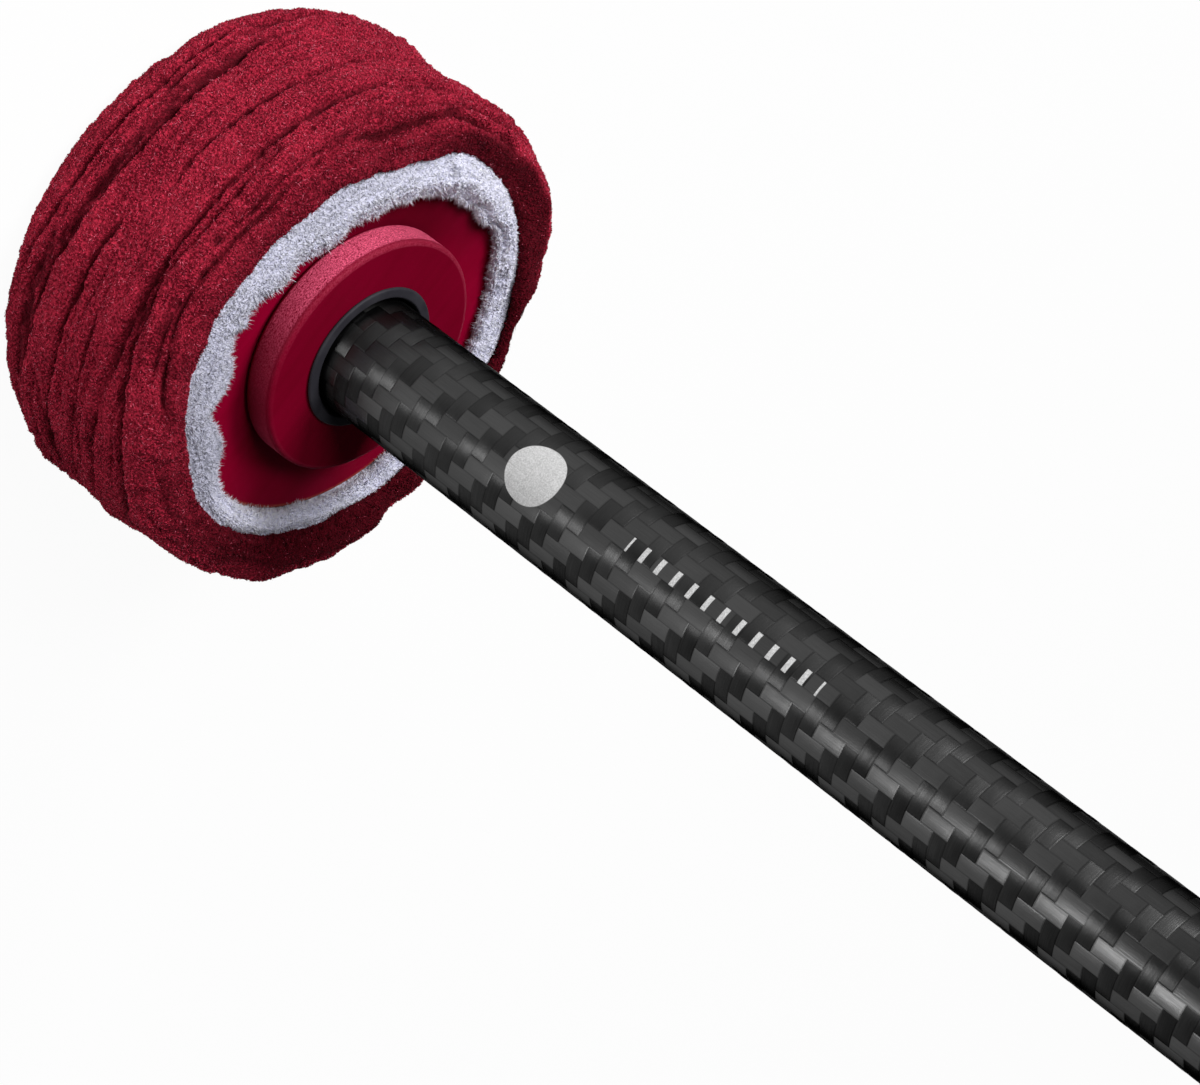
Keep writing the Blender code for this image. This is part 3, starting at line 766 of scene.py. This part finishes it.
nap_weight = band(cover_rows - 1, (lip_first, wall_last + 14, 1.0)) * (1 - 0.8 * crease_share[:-1])
loose_weight = nap_weight * (1 - 0.9 * matted_and_shade[:-1])
lip_weight = band(cover_rows - 1, (lip_first - 1, 20, 1.0))
grow_tufts("cover_tufts", "red_fleece", cover_points, nap_weight, 49000, 0.36, 0.125, 55, 11,
           red_tufts, matted_and_shade)
grow_tufts("cover_fibres", "red_fleece", cover_points, loose_weight, 14000, 0.62, 0.045, 65, 15,
           loose_red)
grow_tufts("lip_fibres", "red_fleece", cover_points, lip_weight, 9000, 1.0, 0.08, 75, 17,
           red_tufts, matted_and_shade, -0.6)

# %% [markdown]
# The white liner is a second, thinner fleece. It pads the drum under the cover, comes up
# round the rear disc and is turned in over it, further on one side than the other. Its cut
# edge isn't hemmed, so it wanders and ends in loose fibres. The same grid makes it: the
# profile's inner end is pulled in or out at each angle.

# %% Liner surface
LINER_COLUMNS = 640
FLAP_RADIUS = 21.0               # mean radius of the liner's cut edge, in mm
# Radius of the cut edge at each angle
FLAP_EDGE = [
    (158, 24.9), (162, 23.4), (166, 23.4), (171, 23.9), (174, 22.6), (180, 22.4), (187, 21.8),
    (195, 21.2), (206, 20.8), (215, 20.2), (220, 19.0), (227, 19.2), (235, 18.8), (241, 18.3),
    (249, 18.2), (255, 19.8), (260, 20.1), (264, 18.9), (269, 18.8), (276, 21.1), (280, 22.1),
    (287, 21.2), (290, 22.7), (294, 21.7), (300, 21.0), (306, 20.8), (312, 21.3), (315, 22.9),
    (322, 23.0), (330, 22.2), (334, 22.3), (342, 23.4), (349, 24.4), (357, 25.2), (20, 25.2),
    (60, 25.2), (100, 24.8), (132, 24.3), (145, 24.6),
]


def liner_ring(points, soften=4.0):
    """A value for every column of the liner."""
    return ring_values(points, LINER_COLUMNS, soften)


# How far the turned-in edge bulges, in mm, and how much painted shade darkens and greys it, at
# each angle
bulge = liner_ring([(0, 0.3), (60, 0.3), (120, 0.4), (165, 1.0), (200, 1.3), (240, 1.2),
                    (290, 0.7), (330, 0.4)])
painted_flap_shade = liner_ring([(0, 0.15), (21, 0.0), (60, 0.2), (130, 0.2), (165, 0.1), (198, 0.0),
                        (230, 0.1), (262, 0.38), (296, 0.6), (320, 0.8), (336, 0.95), (350, 0.6)])
edge_mm = TURN * FLAP_RADIUS / LINER_COLUMNS
ragged = wander_round(LINER_COLUMNS, edge_mm, 0.5, 21) * 0.16
ragged += wander_round(LINER_COLUMNS, edge_mm, 2.0, 22) * 0.20
flap_edge = np.minimum(liner_ring(FLAP_EDGE, 1.2) + ragged, 25.4)

liner_start = np.concatenate([
    path((0.05, 2.7), 14, (26.6, 2.7)),
    bow(26.6, 5.3, 2.6, -90, 0, 5),
    path((29.2, 5.3), 16, (29.2, 27.8)),
    bow(28.1, 27.8, 1.1, 0, 90, 9),
    [[28.1, 28.9]],
])
flap_share = np.linspace(0, 1, 31)[1:, None]
flap_start, flap_end = 28.1, flap_edge + 0.75
flap_top_r = flap_start + (flap_end - flap_start) * flap_share
flap_top_z = 28.9 + bulge * np.sin(np.pi * flap_share ** 1.5)
turn_angle = np.radians(np.linspace(90, 270, 7))[1:, None]
edge_r = flap_end + 0.75 * np.cos(turn_angle)
edge_z = 28.15 + 0.75 * np.sin(turn_angle)
under_r = flap_end + (25.6 - flap_edge - 0.75) * np.linspace(0, 1, 6)[1:, None]
liner_end = np.concatenate([path((25.6, 27.3), 8, (25.6, 5.2), 6, (0.05, 5.2)), [[0.05, 5.2]]])
parts = [(liner_start[:, 0:1], liner_start[:, 1:2]), (flap_top_r, flap_top_z), (edge_r, edge_z),
         (under_r, np.full_like(under_r, 27.4)), (liner_end[:, 0:1], liner_end[:, 1:2])]
liner_r, liner_z = (np.concatenate([np.broadcast_to(part[axis], (len(part[0]), LINER_COLUMNS))
                                    for part in parts]) for axis in (0, 1))
liner_rows = len(liner_r)
# The rows that show: from the outer corner over the flap to the end of its cut edge
top_first = len(liner_start) - 10
top_last = len(liner_start) + len(flap_share) + len(turn_angle)

puffs = wander(liner_rows, LINER_COLUMNS, 0.3, edge_mm, 3.0, 5.0, 23) * 0.15
combed = wander(liner_rows, LINER_COLUMNS, 0.3, edge_mm, 0.5, 4.0, 24) * 0.08
# The liner's two ends meet in a slanted seam across the turned-in edge
SEAM_DEGREES, SEAM_SLANT = 185.0, 3.3            # at a radius of 22.4 mm, and degrees per mm
seam_degrees = SEAM_DEGREES + (liner_r - 22.4) * SEAM_SLANT
seam_off = (around(LINER_COLUMNS, 360) - seam_degrees) * np.radians(liner_r)
seam = -0.75 * bell(seam_off, 0, 0.32) + 0.30 * bell(seam_off, 0.8, 0.6)
seam *= np.clip(27.6 - liner_r, 0, 1)
liner_z = liner_z + (puffs + combed + seam) * band(liner_rows, (top_first, top_last, 1.0))
liner_points = round_axis(liner_r, liner_z, LINER_COLUMNS)
liner = grid_piece("liner_fleece", liner_points, False, [white_fleece])
liner_matted_and_shade = np.maximum(painted_flap_shade, bell(seam_off, 0, 0.30) * 0.8)
# Close under the lip, on the side where the flap is wide, painted shade greys it a little
outer_part = np.clip((liner_r - flap_edge - 2.4) / 3.0, 0, 1)
liner_matted_and_shade = np.maximum(liner_matted_and_shade, outer_part * liner_ring(
    [(185, 0.0), (200, 0.25), (215, 0.55), (255, 0.55), (275, 0.0)]))
store_number(liner, "matted_and_shade", np.concatenate([liner_matted_and_shade.ravel(), [0.0, 0.0]]))
seat(liner, "white_fleece", "white_liner")

# %% Liner tufts and loose fibres at the cut edge
liner_weight = band(liner_rows - 1, (top_first + 11, top_last - 1, 1.0))
edge_weight = band(liner_rows - 1, (top_last - 6, top_last - 2, 1.0))
grow_tufts("liner_tufts", "white_fleece", liner_points, liner_weight, 30000, 0.46, 0.10, 58, 12,
           white_tufts, liner_matted_and_shade, 0.2)
grow_tufts("liner_edge_fibres", "white_fleece", liner_points, edge_weight, 7000, 0.80, 0.07, 30,
           13, white_tufts, liner_matted_and_shade)

# %% [markdown]
# The nose patch closes the cover where the mallet strikes. It is the same fleece, flat from
# use, so it needs only a domed rim and pressed pile.

# %% Nose patch
def turned_piece(name, profile, columns, finish, closed, sharp_degrees, relief=0.0):
    """A lathe form: its profile spun round the axis, plus a relief."""
    points = round_axis(profile[:, 0:1], profile[:, 1:2], columns) + relief
    return grid_piece(name, points, closed, [finish], sharp_degrees)


patch_profile = np.concatenate([
    path((0.05, 0.0), 40, (22.9, 0.0)),
    bow(22.9, 0.6, 0.6, -90, 90, 8),
    path((22.9, 2.4), 6, (0.05, 2.4)),
    [[0.05, 2.4]],
])
patch_columns = 260
STRUCK_ROWS = 36                 # rows of the flat face, which gets dimples
dimples = wander(len(patch_profile), patch_columns, 0.58, 0.55, 1.4, 1.4, 31)
patch_relief = np.zeros((len(patch_profile), patch_columns, 3))
patch_relief[:STRUCK_ROWS, :, 2] = 0.05 + np.clip(dimples[:STRUCK_ROWS], -1.0, 1.0) * 0.05
patch = turned_piece("nose_patch_fleece", patch_profile, patch_columns, red_patch, False, None,
                     patch_relief)
seat(patch, "red_fleece", "nose_patch")

# %% [markdown]
# The two discs that show are turned from a pale hardwood and stained crimson. The stain
# soaks into the end grain, lies thin on the sawn side and is rubbed off at the corners. A
# photograph of wood would do it, but a procedural grain keeps its scale from any side:
# noise stretched along one direction, with fine pores on top. How worn each point is comes
# from the profile, as a number stored on the mesh. On the boss's side that number also paints
# a highlight towards the key lamp, and a second number paints a shadow on the rear disc's face.

# %% Wood group and finishes
GRAIN_TURN = (0.0, 0.0, 0.6)

grain_group, (place, pale, deep, worn_colour, worn_and_lit, painted_shadow) = new_group("Wood grain", {
    "Place": ORIGIN, "Pale colour": WHITE, "Deep colour": BLACK, "Worn colour": WHITE,
    "Worn and lit": 0.0, "Painted shadow": 0.0})
bands = noise(mapped(place, (60.0, 900.0, 900.0), GRAIN_TURN), 1.0, 4.0)
pores = noise(mapped(place, (3800.0, 7500.0, 7500.0), GRAIN_TURN), 1.0, 2.0)
blotches = noise(place, 110.0)
deep_share = ramp(bands, 0.32, 0.68, 0.15, 0.45) + ramp(blotches, 0.3, 0.7, -0.1, 0.3)
stained = mix_colour(deep_share, pale, deep)
# Worn and lit: the worn colour shows through the pores, as real wear and, on the boss side, as a
# painted highlight
rubbed = worn_and_lit * ramp(pores, 0.34, 0.66)
wood_colour = mix_colour(rubbed, stained, worn_colour)
# Painted shadow: towards black where the mesh marks shade
wood_colour = mix_colour(painted_shadow * 0.62, wood_colour, DARK)
end_group(grain_group, Colour=wood_colour, Height=pores * 0.8 + bands * 0.2,
          Roughness=ramp(pores, 0.3, 0.7, 0.42, 0.62))


def wood_finish(name, pale, deep, worn_and_lit, depth_mm, wear_and_shadow=("worn_and_lit", "painted_shadow")):
    """Wood: the grain group's colour, roughness and height."""
    values = {"Pale colour": pale, "Deep colour": deep, "Worn colour": worn_and_lit, "Worn and lit": wear_and_shadow[0],
              "Painted shadow": wear_and_shadow[1]}
    return group_finish(name, grain_group, depth_mm, values, Roughness=0.5,
                        Specular_IOR_Level=0.05)


disc_wood = wood_finish("stained_disc_wood", (0.27, 0.0002, 0.024), (0.19, 0.0001, 0.013),
                        (0.62, 0.30, 0.14), 0.03)
boss_wood = wood_finish("stained_boss_wood", (0.19, 0.0002, 0.016), (0.13, 0.0001, 0.009),
                        (1.0, 0.15, 0.28), 0.05)
plain_wood = wood_finish("bare_core_wood", (0.55, 0.38, 0.22), (0.38, 0.24, 0.12),
                         (0.5, 0.4, 0.3), 0.03, (0.0, 0.0))
print("wood finishes:", disc_wood.name, boss_wood.name, plain_wood.name)


# %% Rear disc and hub boss
DISC_COLUMNS = 288


def sideways(out, columns):
    """A relief that stands out from the axis by that many mm."""
    return round_axis(out, 0.0, columns)


def disc_piece(name, bore, radius, bottom, top, edge, finish, side_wear, edge_wear, wear_and_light_round,
               shadow_round):
    """A bored disc: out along its foot, up its side, in over its face, down its bore.

    The last two are (degrees, value) points: where its side is rubbed, which can also paint a
    highlight, and where a painted shadow darkens its face.
    gathered on its face."""
    profile = np.concatenate([
        path((bore, bottom), 6, (radius - edge, bottom)),
        bow(radius - edge, bottom + edge, edge, -90, 0, 5),
        path((radius, bottom + edge), 12, (radius, top - edge)),
        bow(radius - edge, top - edge, edge, 0, 90, 6),
        path((radius - edge, top), 60, (bore, top), 4, (bore, bottom)),
    ])
    columns = DISC_COLUMNS
    side_first, edge_first, face_first, face_last = 11, 21, 23, 90
    saw = wander(len(profile), columns, 0.35, TURN * radius / columns, 0.4, 0.4, 41)
    out = np.clip(saw, -1.5, 1.5) * band(len(profile), (side_first, face_first, 1.0)) * 0.012
    thing = turned_piece(name, profile, columns, finish, True, 50, sideways(out, columns))
    worn_and_lit = band(len(profile), (side_first, face_first, side_wear))
    worn_and_lit[edge_first:30] = np.maximum(worn_and_lit[edge_first:30], edge_wear)
    store_number(thing, "worn_and_lit", worn_and_lit * ring_values(wear_and_light_round, columns, 4.0))
    # A painted shadow darkens the face, as much as the last points give at each angle
    face = band(len(profile), (face_first, face_last, 1.0))
    store_number(thing, "painted_shadow", face * ring_values(shadow_round, columns, 4.0))
    return thing


# On the rear disc the painted shadow lies where the lip and liner would shade it
rear_disc = disc_piece("rear_disc_wood", 8.3, 25.3, 22.1, 27.1, 0.5, disc_wood, 0.8, 0.4,
                       [(0, 1), (180, 1)], [(140, 0.0), (165, 0.7), (180, 1.0), (205, 1.0),
                                            (225, 0.7), (245, 0.3), (262, 0.0)])
seat(rear_disc, "stained_wood", "rear_disc")
# The boss side is rubbed lighter, most where it faces the key lamp: real wear with a painted
# highlight
boss = disc_piece("hub_boss_wood", 9.7, 16.5, 27.4, 32.0, 0.6, boss_wood, 1.0, 0.15,
                  [(0, 0.5), (150, 1.0), (235, 1.0), (262, 0.8), (280, 0.45), (300, 0.18),
                   (330, 0.12)], [(0, 0), (180, 0)])
seat(boss, "stained_wood", "hub_boss")

# %% [markdown]
# Rubber, plastic and metal have little pattern, but never none: a fine skin from the mould
# or the lathe, a soft mottling and some dust or scuffs. One group gives a mottle for the
# colour and roughness and a fine height. Each material sets its own sizes.

# %% Fine skin group and finishes
skin_group, (place, main, dusty, fineness, shine) = new_group("Fine skin", {
    "Place": ORIGIN, "Main colour": WHITE, "Dusty colour": WHITE, "Grains per metre": 4000.0,
    "Shine": 0.4})
grains = noise(place, fineness, 2.0)
mottle = noise(place, 300.0, 4.0)
skin_colour = mix_colour(ramp(mottle, 0.42, 0.75), main, dusty)
end_group(skin_group, Colour=skin_colour, Height=grains,
          Roughness=shine + ramp(mottle, 0.3, 0.7, -0.05, 0.08))


def skin_finish(name, main, dusty, roughness, grains_per_metre, depth_mm, stretch=(1, 1, 1),
                **constants):
    """Rubber, plastic or metal from the fine skin group."""
    values = {"Main colour": main, "Dusty colour": dusty, "Grains per metre": grains_per_metre,
              "Shine": roughness}
    return group_finish(name, skin_group, depth_mm, values, stretch, Roughness=roughness,
                        **constants)


rubber = skin_finish("black_rubber_skin", (0.022, 0.021, 0.027), (0.034, 0.033, 0.040), 0.60,
                     5000.0, 0.02, Specular_IOR_Level=0.2)
plug_plastic = skin_finish("black_plug_plastic", (0.020, 0.020, 0.022), (0.034, 0.034, 0.036),
                           0.42, 6000.0, 0.02)
steel = skin_finish("machined_steel", (0.48, 0.48, 0.49), (0.36, 0.35, 0.34), 0.32, 3000.0, 0.01,
                    (1, 1, 6), Metallic=1.0)
aluminium = skin_finish("turned_aluminium", (0.62, 0.63, 0.64), (0.50, 0.50, 0.50), 0.36, 3000.0,
                        0.01, (1, 1, 8), Metallic=1.0)
print("skin finishes:", rubber.name, plug_plastic.name, steel.name, aluminium.name)

# %% Rubber ring and butt plug
RING_PUSHED = 0.75               # mm that the flange sits off centre
PUSHED_TOWARDS = 275             # degrees, close to the -Y side

ring_profile = np.concatenate([
    path((8.3, 28.3), 3, (9.4, 28.3), 6, (9.4, 32.1)),
    path((9.4, 32.05), 3, (9.95, 32.05)),
    bow(9.65, 32.30, 0.30, 0, 90, 7),
    path((9.65, 32.60), 3, (8.75, 32.60)),
    bow(8.75, 32.40, 0.20, 90, 180, 4),
    path((8.55, 32.40), 5, (8.3, 31.2), 6, (8.3, 28.3)),
])
ring_columns = 160
off_centre = RING_PUSHED * np.cos(around(ring_columns) - np.radians(PUSHED_TOWARDS))
pushed = off_centre * (ring_profile[:, 1:2] > 32.0)
ring = turned_piece("rubber_ring_seal", ring_profile, ring_columns, rubber, True, 40,
                    sideways(pushed, ring_columns))
seat(ring, "black_rubber", "rubber_ring")

plug_profile = np.concatenate([
    path((0.05, 337.7), 3, (5.7, 337.7), 2, (6.2, 338.2), 4, (6.2, 353.0), 3, (8.0, 353.0), 4,
         (8.0, 354.8)),
    bow(6.8, 354.8, 1.2, 0, 90, 8),
    path((6.8, 356.0), 12, (0.05, 356.0)),
    [[0.05, 356.0]],
])
plug_cap = turned_piece("butt_plug_cap", plug_profile, 120, plug_plastic, False, 40)
seat(plug_cap, "black_plastic", "butt_plug")

# %% [markdown]
# The tube is wound in a two-by-two twill: each tow of black fibre runs over two and under
# two, and each row steps one tow along, which draws the diagonal. A flat checker texture
# would miss how tows along the tube and tows round it flash at different angles. So the
# tow faces get two materials, alike but for the direction in which their shine is
# stretched, and each float swells a little in the mesh.

# %% Carbon groups
tow_group, (fibres, tone, dullness, deep, pale) = new_group("Carbon tow", {
    "Fibres": ORIGIN, "Tone": 0.5, "Dullness": 0.6, "Deep colour": BLACK, "Pale colour": WHITE})
strands = noise(mapped(fibres, (0.5, 20.0, 1.0)), 1.0, 3.0, 0.6)
strand_share = ramp(strands, 0.3, 0.7)
tow_colour = mix_colour(strand_share * 0.35 + tone * 0.65, deep, pale)
# A float is two tows long and one wide: its border sinks between its neighbours, and is darkened
# there with painted shade
along, across, _ = split(fibres)
border = node_math("MINIMUM", node_math("PINGPONG", across, 0.5),
                   node_math("PINGPONG", along, 1.0))
inside = ramp(border, 0.0, 0.08)
tow_colour = mix_colour((1.0 - inside) * 0.30, tow_colour, (0.004, 0.004, 0.004))
end_group(tow_group, Colour=tow_colour, Height=strand_share * 0.3 + inside * 0.7,
          Roughness=dullness + ramp(strands, 0.3, 0.7, 0.05, -0.05))

# A tow shines as if it faced a little to one side: n + a (z x n) + b z, and each differs
UPWARDS = (0.0, 0.0, 1.0)
lean_group, (normal, lean_round, lean_up, tone, printed) = new_group("Tow lean", {
    "Normal": UPWARDS, "Lean round": 0.0, "Lean up": 0.0, "Tone": 0.5, "Printed": 0.0})
bare = 1.0 - printed
lean_a = lean_round + ramp(tone, 0.0, 1.0, -0.04, 0.04)
lean_b = lean_up + node_math("SINE", tone * 40.0) * 0.03
round_way = vector_math("CROSS_PRODUCT", UPWARDS, normal)
leaned = vector_math("ADD", normal, vector_math("SCALE", round_way, lean_a * bare))
leaned = vector_math("ADD", leaned, vector_math("SCALE", UPWARDS, lean_b * bare))
end_group(lean_group, Normal=vector_math("NORMALIZE", leaned))

# The mark faces a little to the -X side of -Y: the arc from there is radius x angle
SHAFT_RADIUS = 8.0
DOT_ARC, DOT_HEIGHT = 0.75, 66.0                 # mm
TICKS_ARC, TICKS_HEIGHT, TICK_PITCH = 1.0, 97.5, 2.6
mark_group, (place,) = new_group("Printed mark", {"Place": ORIGIN})
x, y, z = split(place)
arc_mm = node_math("ARCTAN2", x, y * -1.0) * SHAFT_RADIUS
height_mm = z * 1000.0
off_arc = arc_mm + DOT_ARC
off_height = height_mm - DOT_HEIGHT
from_dot = node_math("SQRT", off_arc * off_arc + off_height * off_height)
dot = ramp(from_dot, 3.95, 4.05, 1.0, 0.0)
tick_wave = node_math("FRACT", node_math("DIVIDE", height_mm, TICK_PITCH))
tick_wave = node_math("ABSOLUTE", tick_wave - 0.5)
tick = ramp(tick_wave, 0.12, 0.15, 1.0, 0.0)
tick_width = ramp(node_math("ABSOLUTE", arc_mm + TICKS_ARC), 0.95, 1.05, 1.0, 0.0)
tick_span = ramp(node_math("ABSOLUTE", height_mm - TICKS_HEIGHT), 15.5, 15.6, 1.0, 0.0)
end_group(mark_group, Mask=node_math("MAXIMUM", dot, tick * tick_width * tick_span))


def carbon_finish(name, deep, pale, shine_turn, stretch, dull, lean_round, lean_up):
    """Carbon tows whose shine is stretched round the tube, or along it at a quarter turn."""
    finish, tree, shader = new_finish(name, Roughness=0.4, Anisotropic=stretch,
                                      Specular_Tint=(0.15,) * 3, Anisotropic_Rotation=shine_turn)
    place = object_place(tree)
    tone = read_number(tree, "tow_tone")
    tow = place_group(tree, tow_group, {
        "Fibres": put(tree, "UVMap", {}, "UV", uv_map="fibres"), "Tone": tone, "Dullness": dull,
        "Deep colour": (deep,) * 3, "Pale colour": (pale,) * 3})
    mark = place_group(tree, mark_group, {"Place": place})["Mask"]
    speckle = ramp(noise(place, 5000.0, 2.0), 0.35, 0.65)
    paint = mix_colour(speckle, (0.36, 0.36, 0.36), (0.52, 0.52, 0.52))
    tow["Colour"] = mix_colour(mark, tow["Colour"], paint)
    plug(1.0 - mark, shader.inputs["Metallic"])
    lean = place_group(tree, lean_group, {
        "Normal": put(tree, "NewGeometry", {}, "Normal"), "Lean round": lean_round,
        "Lean up": lean_up, "Tone": tone, "Printed": mark})
    dress(shader, tow, 0.02, lean["Normal"])
    return finish


along_tows = carbon_finish("carbon_tows_along", 0.046, 0.080, 0.0, 0.35, 0.33, -0.13, 0.14)
round_tows = carbon_finish("carbon_tows_round", 0.028, 0.054, 0.25, 0.60, 0.36, 0.02, 0.26)
print("carbon finishes:", along_tows.name, round_tows.name)

# %% Shaft surface
TOWS_ROUND = 24
TOWS_ALONG = 155
TOW_STEPS = 4                    # mesh steps across one tow
WEAVE_LOW, WEAVE_HIGH = 30.0, 352.5
SWELL = 0.035                    # how far the middle of a float stands out

shaft_columns = TOWS_ROUND * TOW_STEPS
weave_rows = TOWS_ALONG * TOW_STEPS + 1
fine_column = np.arange(shaft_columns)[None, :]
fine_row = np.arange(weave_rows)[:, None]
tow_i = fine_column // TOW_STEPS
tow_j = fine_row // TOW_STEPS
part_i = (fine_column % TOW_STEPS) / TOW_STEPS
part_j = (fine_row % TOW_STEPS) / TOW_STEPS
phase = (tow_i + tow_j) % 4
lies_along = phase < 2


def swell_of(across, along):
    """A float's height: a round crown across it, (1 - a^2), that dips at its two ends."""
    return (1 - (2 * across - 1) ** 2) * (1 - (2 * along - 1) ** 4)


swell_along = swell_of(part_i, (phase + part_j) / 2)
swell_round = swell_of(part_j, (phase - 2 + part_i) / 2)
float_height = np.where(lies_along, swell_along, swell_round) * SWELL
float_height[[0, -1]] = 0.0
weave_r = SHAFT_RADIUS - SWELL + float_height
weave_z = WEAVE_LOW + (WEAVE_HIGH - WEAVE_LOW) * fine_row / (weave_rows - 1)
foot = np.array([(6.5, 12.5), (6.7, 12.3), (7.8, 12.3), (8.0, 12.5)])
rim = np.array([(7.8, 352.7), (6.7, 352.7), (6.5, 352.5)])
ones = np.ones((1, shaft_columns))
shaft_r = np.concatenate([foot[:, 0:1] * ones, weave_r, rim[:, 0:1] * ones])
shaft_z = np.concatenate([foot[:, 1:2], weave_z, rim[:, 1:2]])
shaft = grid_piece("shaft_twill", round_axis(shaft_r, shaft_z, shaft_columns), True,
                   [along_tows, round_tows], 60)
seat(shaft, "carbon_fibre", "shaft_tube")

# %% Weave data on the shaft's faces
random = np.random.default_rng(51)
face_row = np.repeat(np.arange(len(shaft_r)), shaft_columns) - len(foot)
face_column = np.tile(np.arange(shaft_columns), len(shaft_r))
in_weave = (face_row >= 0) & (face_row < weave_rows - 1)
cell_i = face_column // TOW_STEPS
cell_j = np.clip(face_row, 0, weave_rows - 2) // TOW_STEPS
cell_phase = (cell_i + cell_j) % 4
is_round = (cell_phase >= 2) & in_weave
shaft.data.polygons.foreach_set("material_index", is_round.astype(np.int32))

second_half = cell_phase % 2
along_tone, round_tone = random.random((2, TOWS_ROUND, TOWS_ALONG + 4))
tone = np.where(is_round, round_tone[(cell_i - second_half) % TOWS_ROUND, cell_j],
                along_tone[cell_i, cell_j - second_half])
store_number(shaft, "tow_tone", tone, "FACE")

corner = np.zeros(len(shaft.data.loops), np.int32)
shaft.data.loops.foreach_get("vertex_index", corner)
corner_face = np.arange(len(corner)) // 4
corner_column = (corner % shaft_columns).astype(float)
wrapped = (corner_column == 0) & (face_column[corner_face] == shaft_columns - 1)
corner_column[wrapped] = shaft_columns
round_place = corner_column / TOW_STEPS
along_place = (corner // shaft_columns - len(foot)) / TOW_STEPS
# A float's number shifts its fibres' pattern along by an even number of tows
float_number = 2 * (3 * cell_i + 7 * cell_j - np.where(is_round, 3, 7) * second_half)
along_float = np.where(is_round[corner_face], round_place - (cell_i - second_half)[corner_face],
                       along_place - (cell_j - second_half)[corner_face])
fibre_u = along_float + float_number[corner_face]
fibre_v = np.where(is_round[corner_face], along_place + 40.0, round_place)
fibre_map = shaft.data.uv_layers.new(name="fibres")
fibre_map.data.foreach_set("uv", np.stack([fibre_u, fibre_v], 1).astype(np.float32).ravel())
print("tows round and along:", TOWS_ROUND, TOWS_ALONG)

# %% [markdown]
# Inside the head the CAD pieces already have the right shapes: the wooden core, the weight
# ring and the screw that pulls the head together. They stay, and only get better finishes.

# %% Finishes of the inner CAD pieces
INNER_FINISHES = {
    "nose_disc": plain_wood, "core_drum": plain_wood, "weight_ring": steel, "head_bolt": steel,
    "bolt_washer": steel, "tube_insert": aluminium,
}
for node_name, finish in INNER_FINISHES.items():
    for plug_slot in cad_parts[node_name].material_slots:
        plug_slot.material = finish
print("refinished:", ", ".join(INNER_FINISHES))
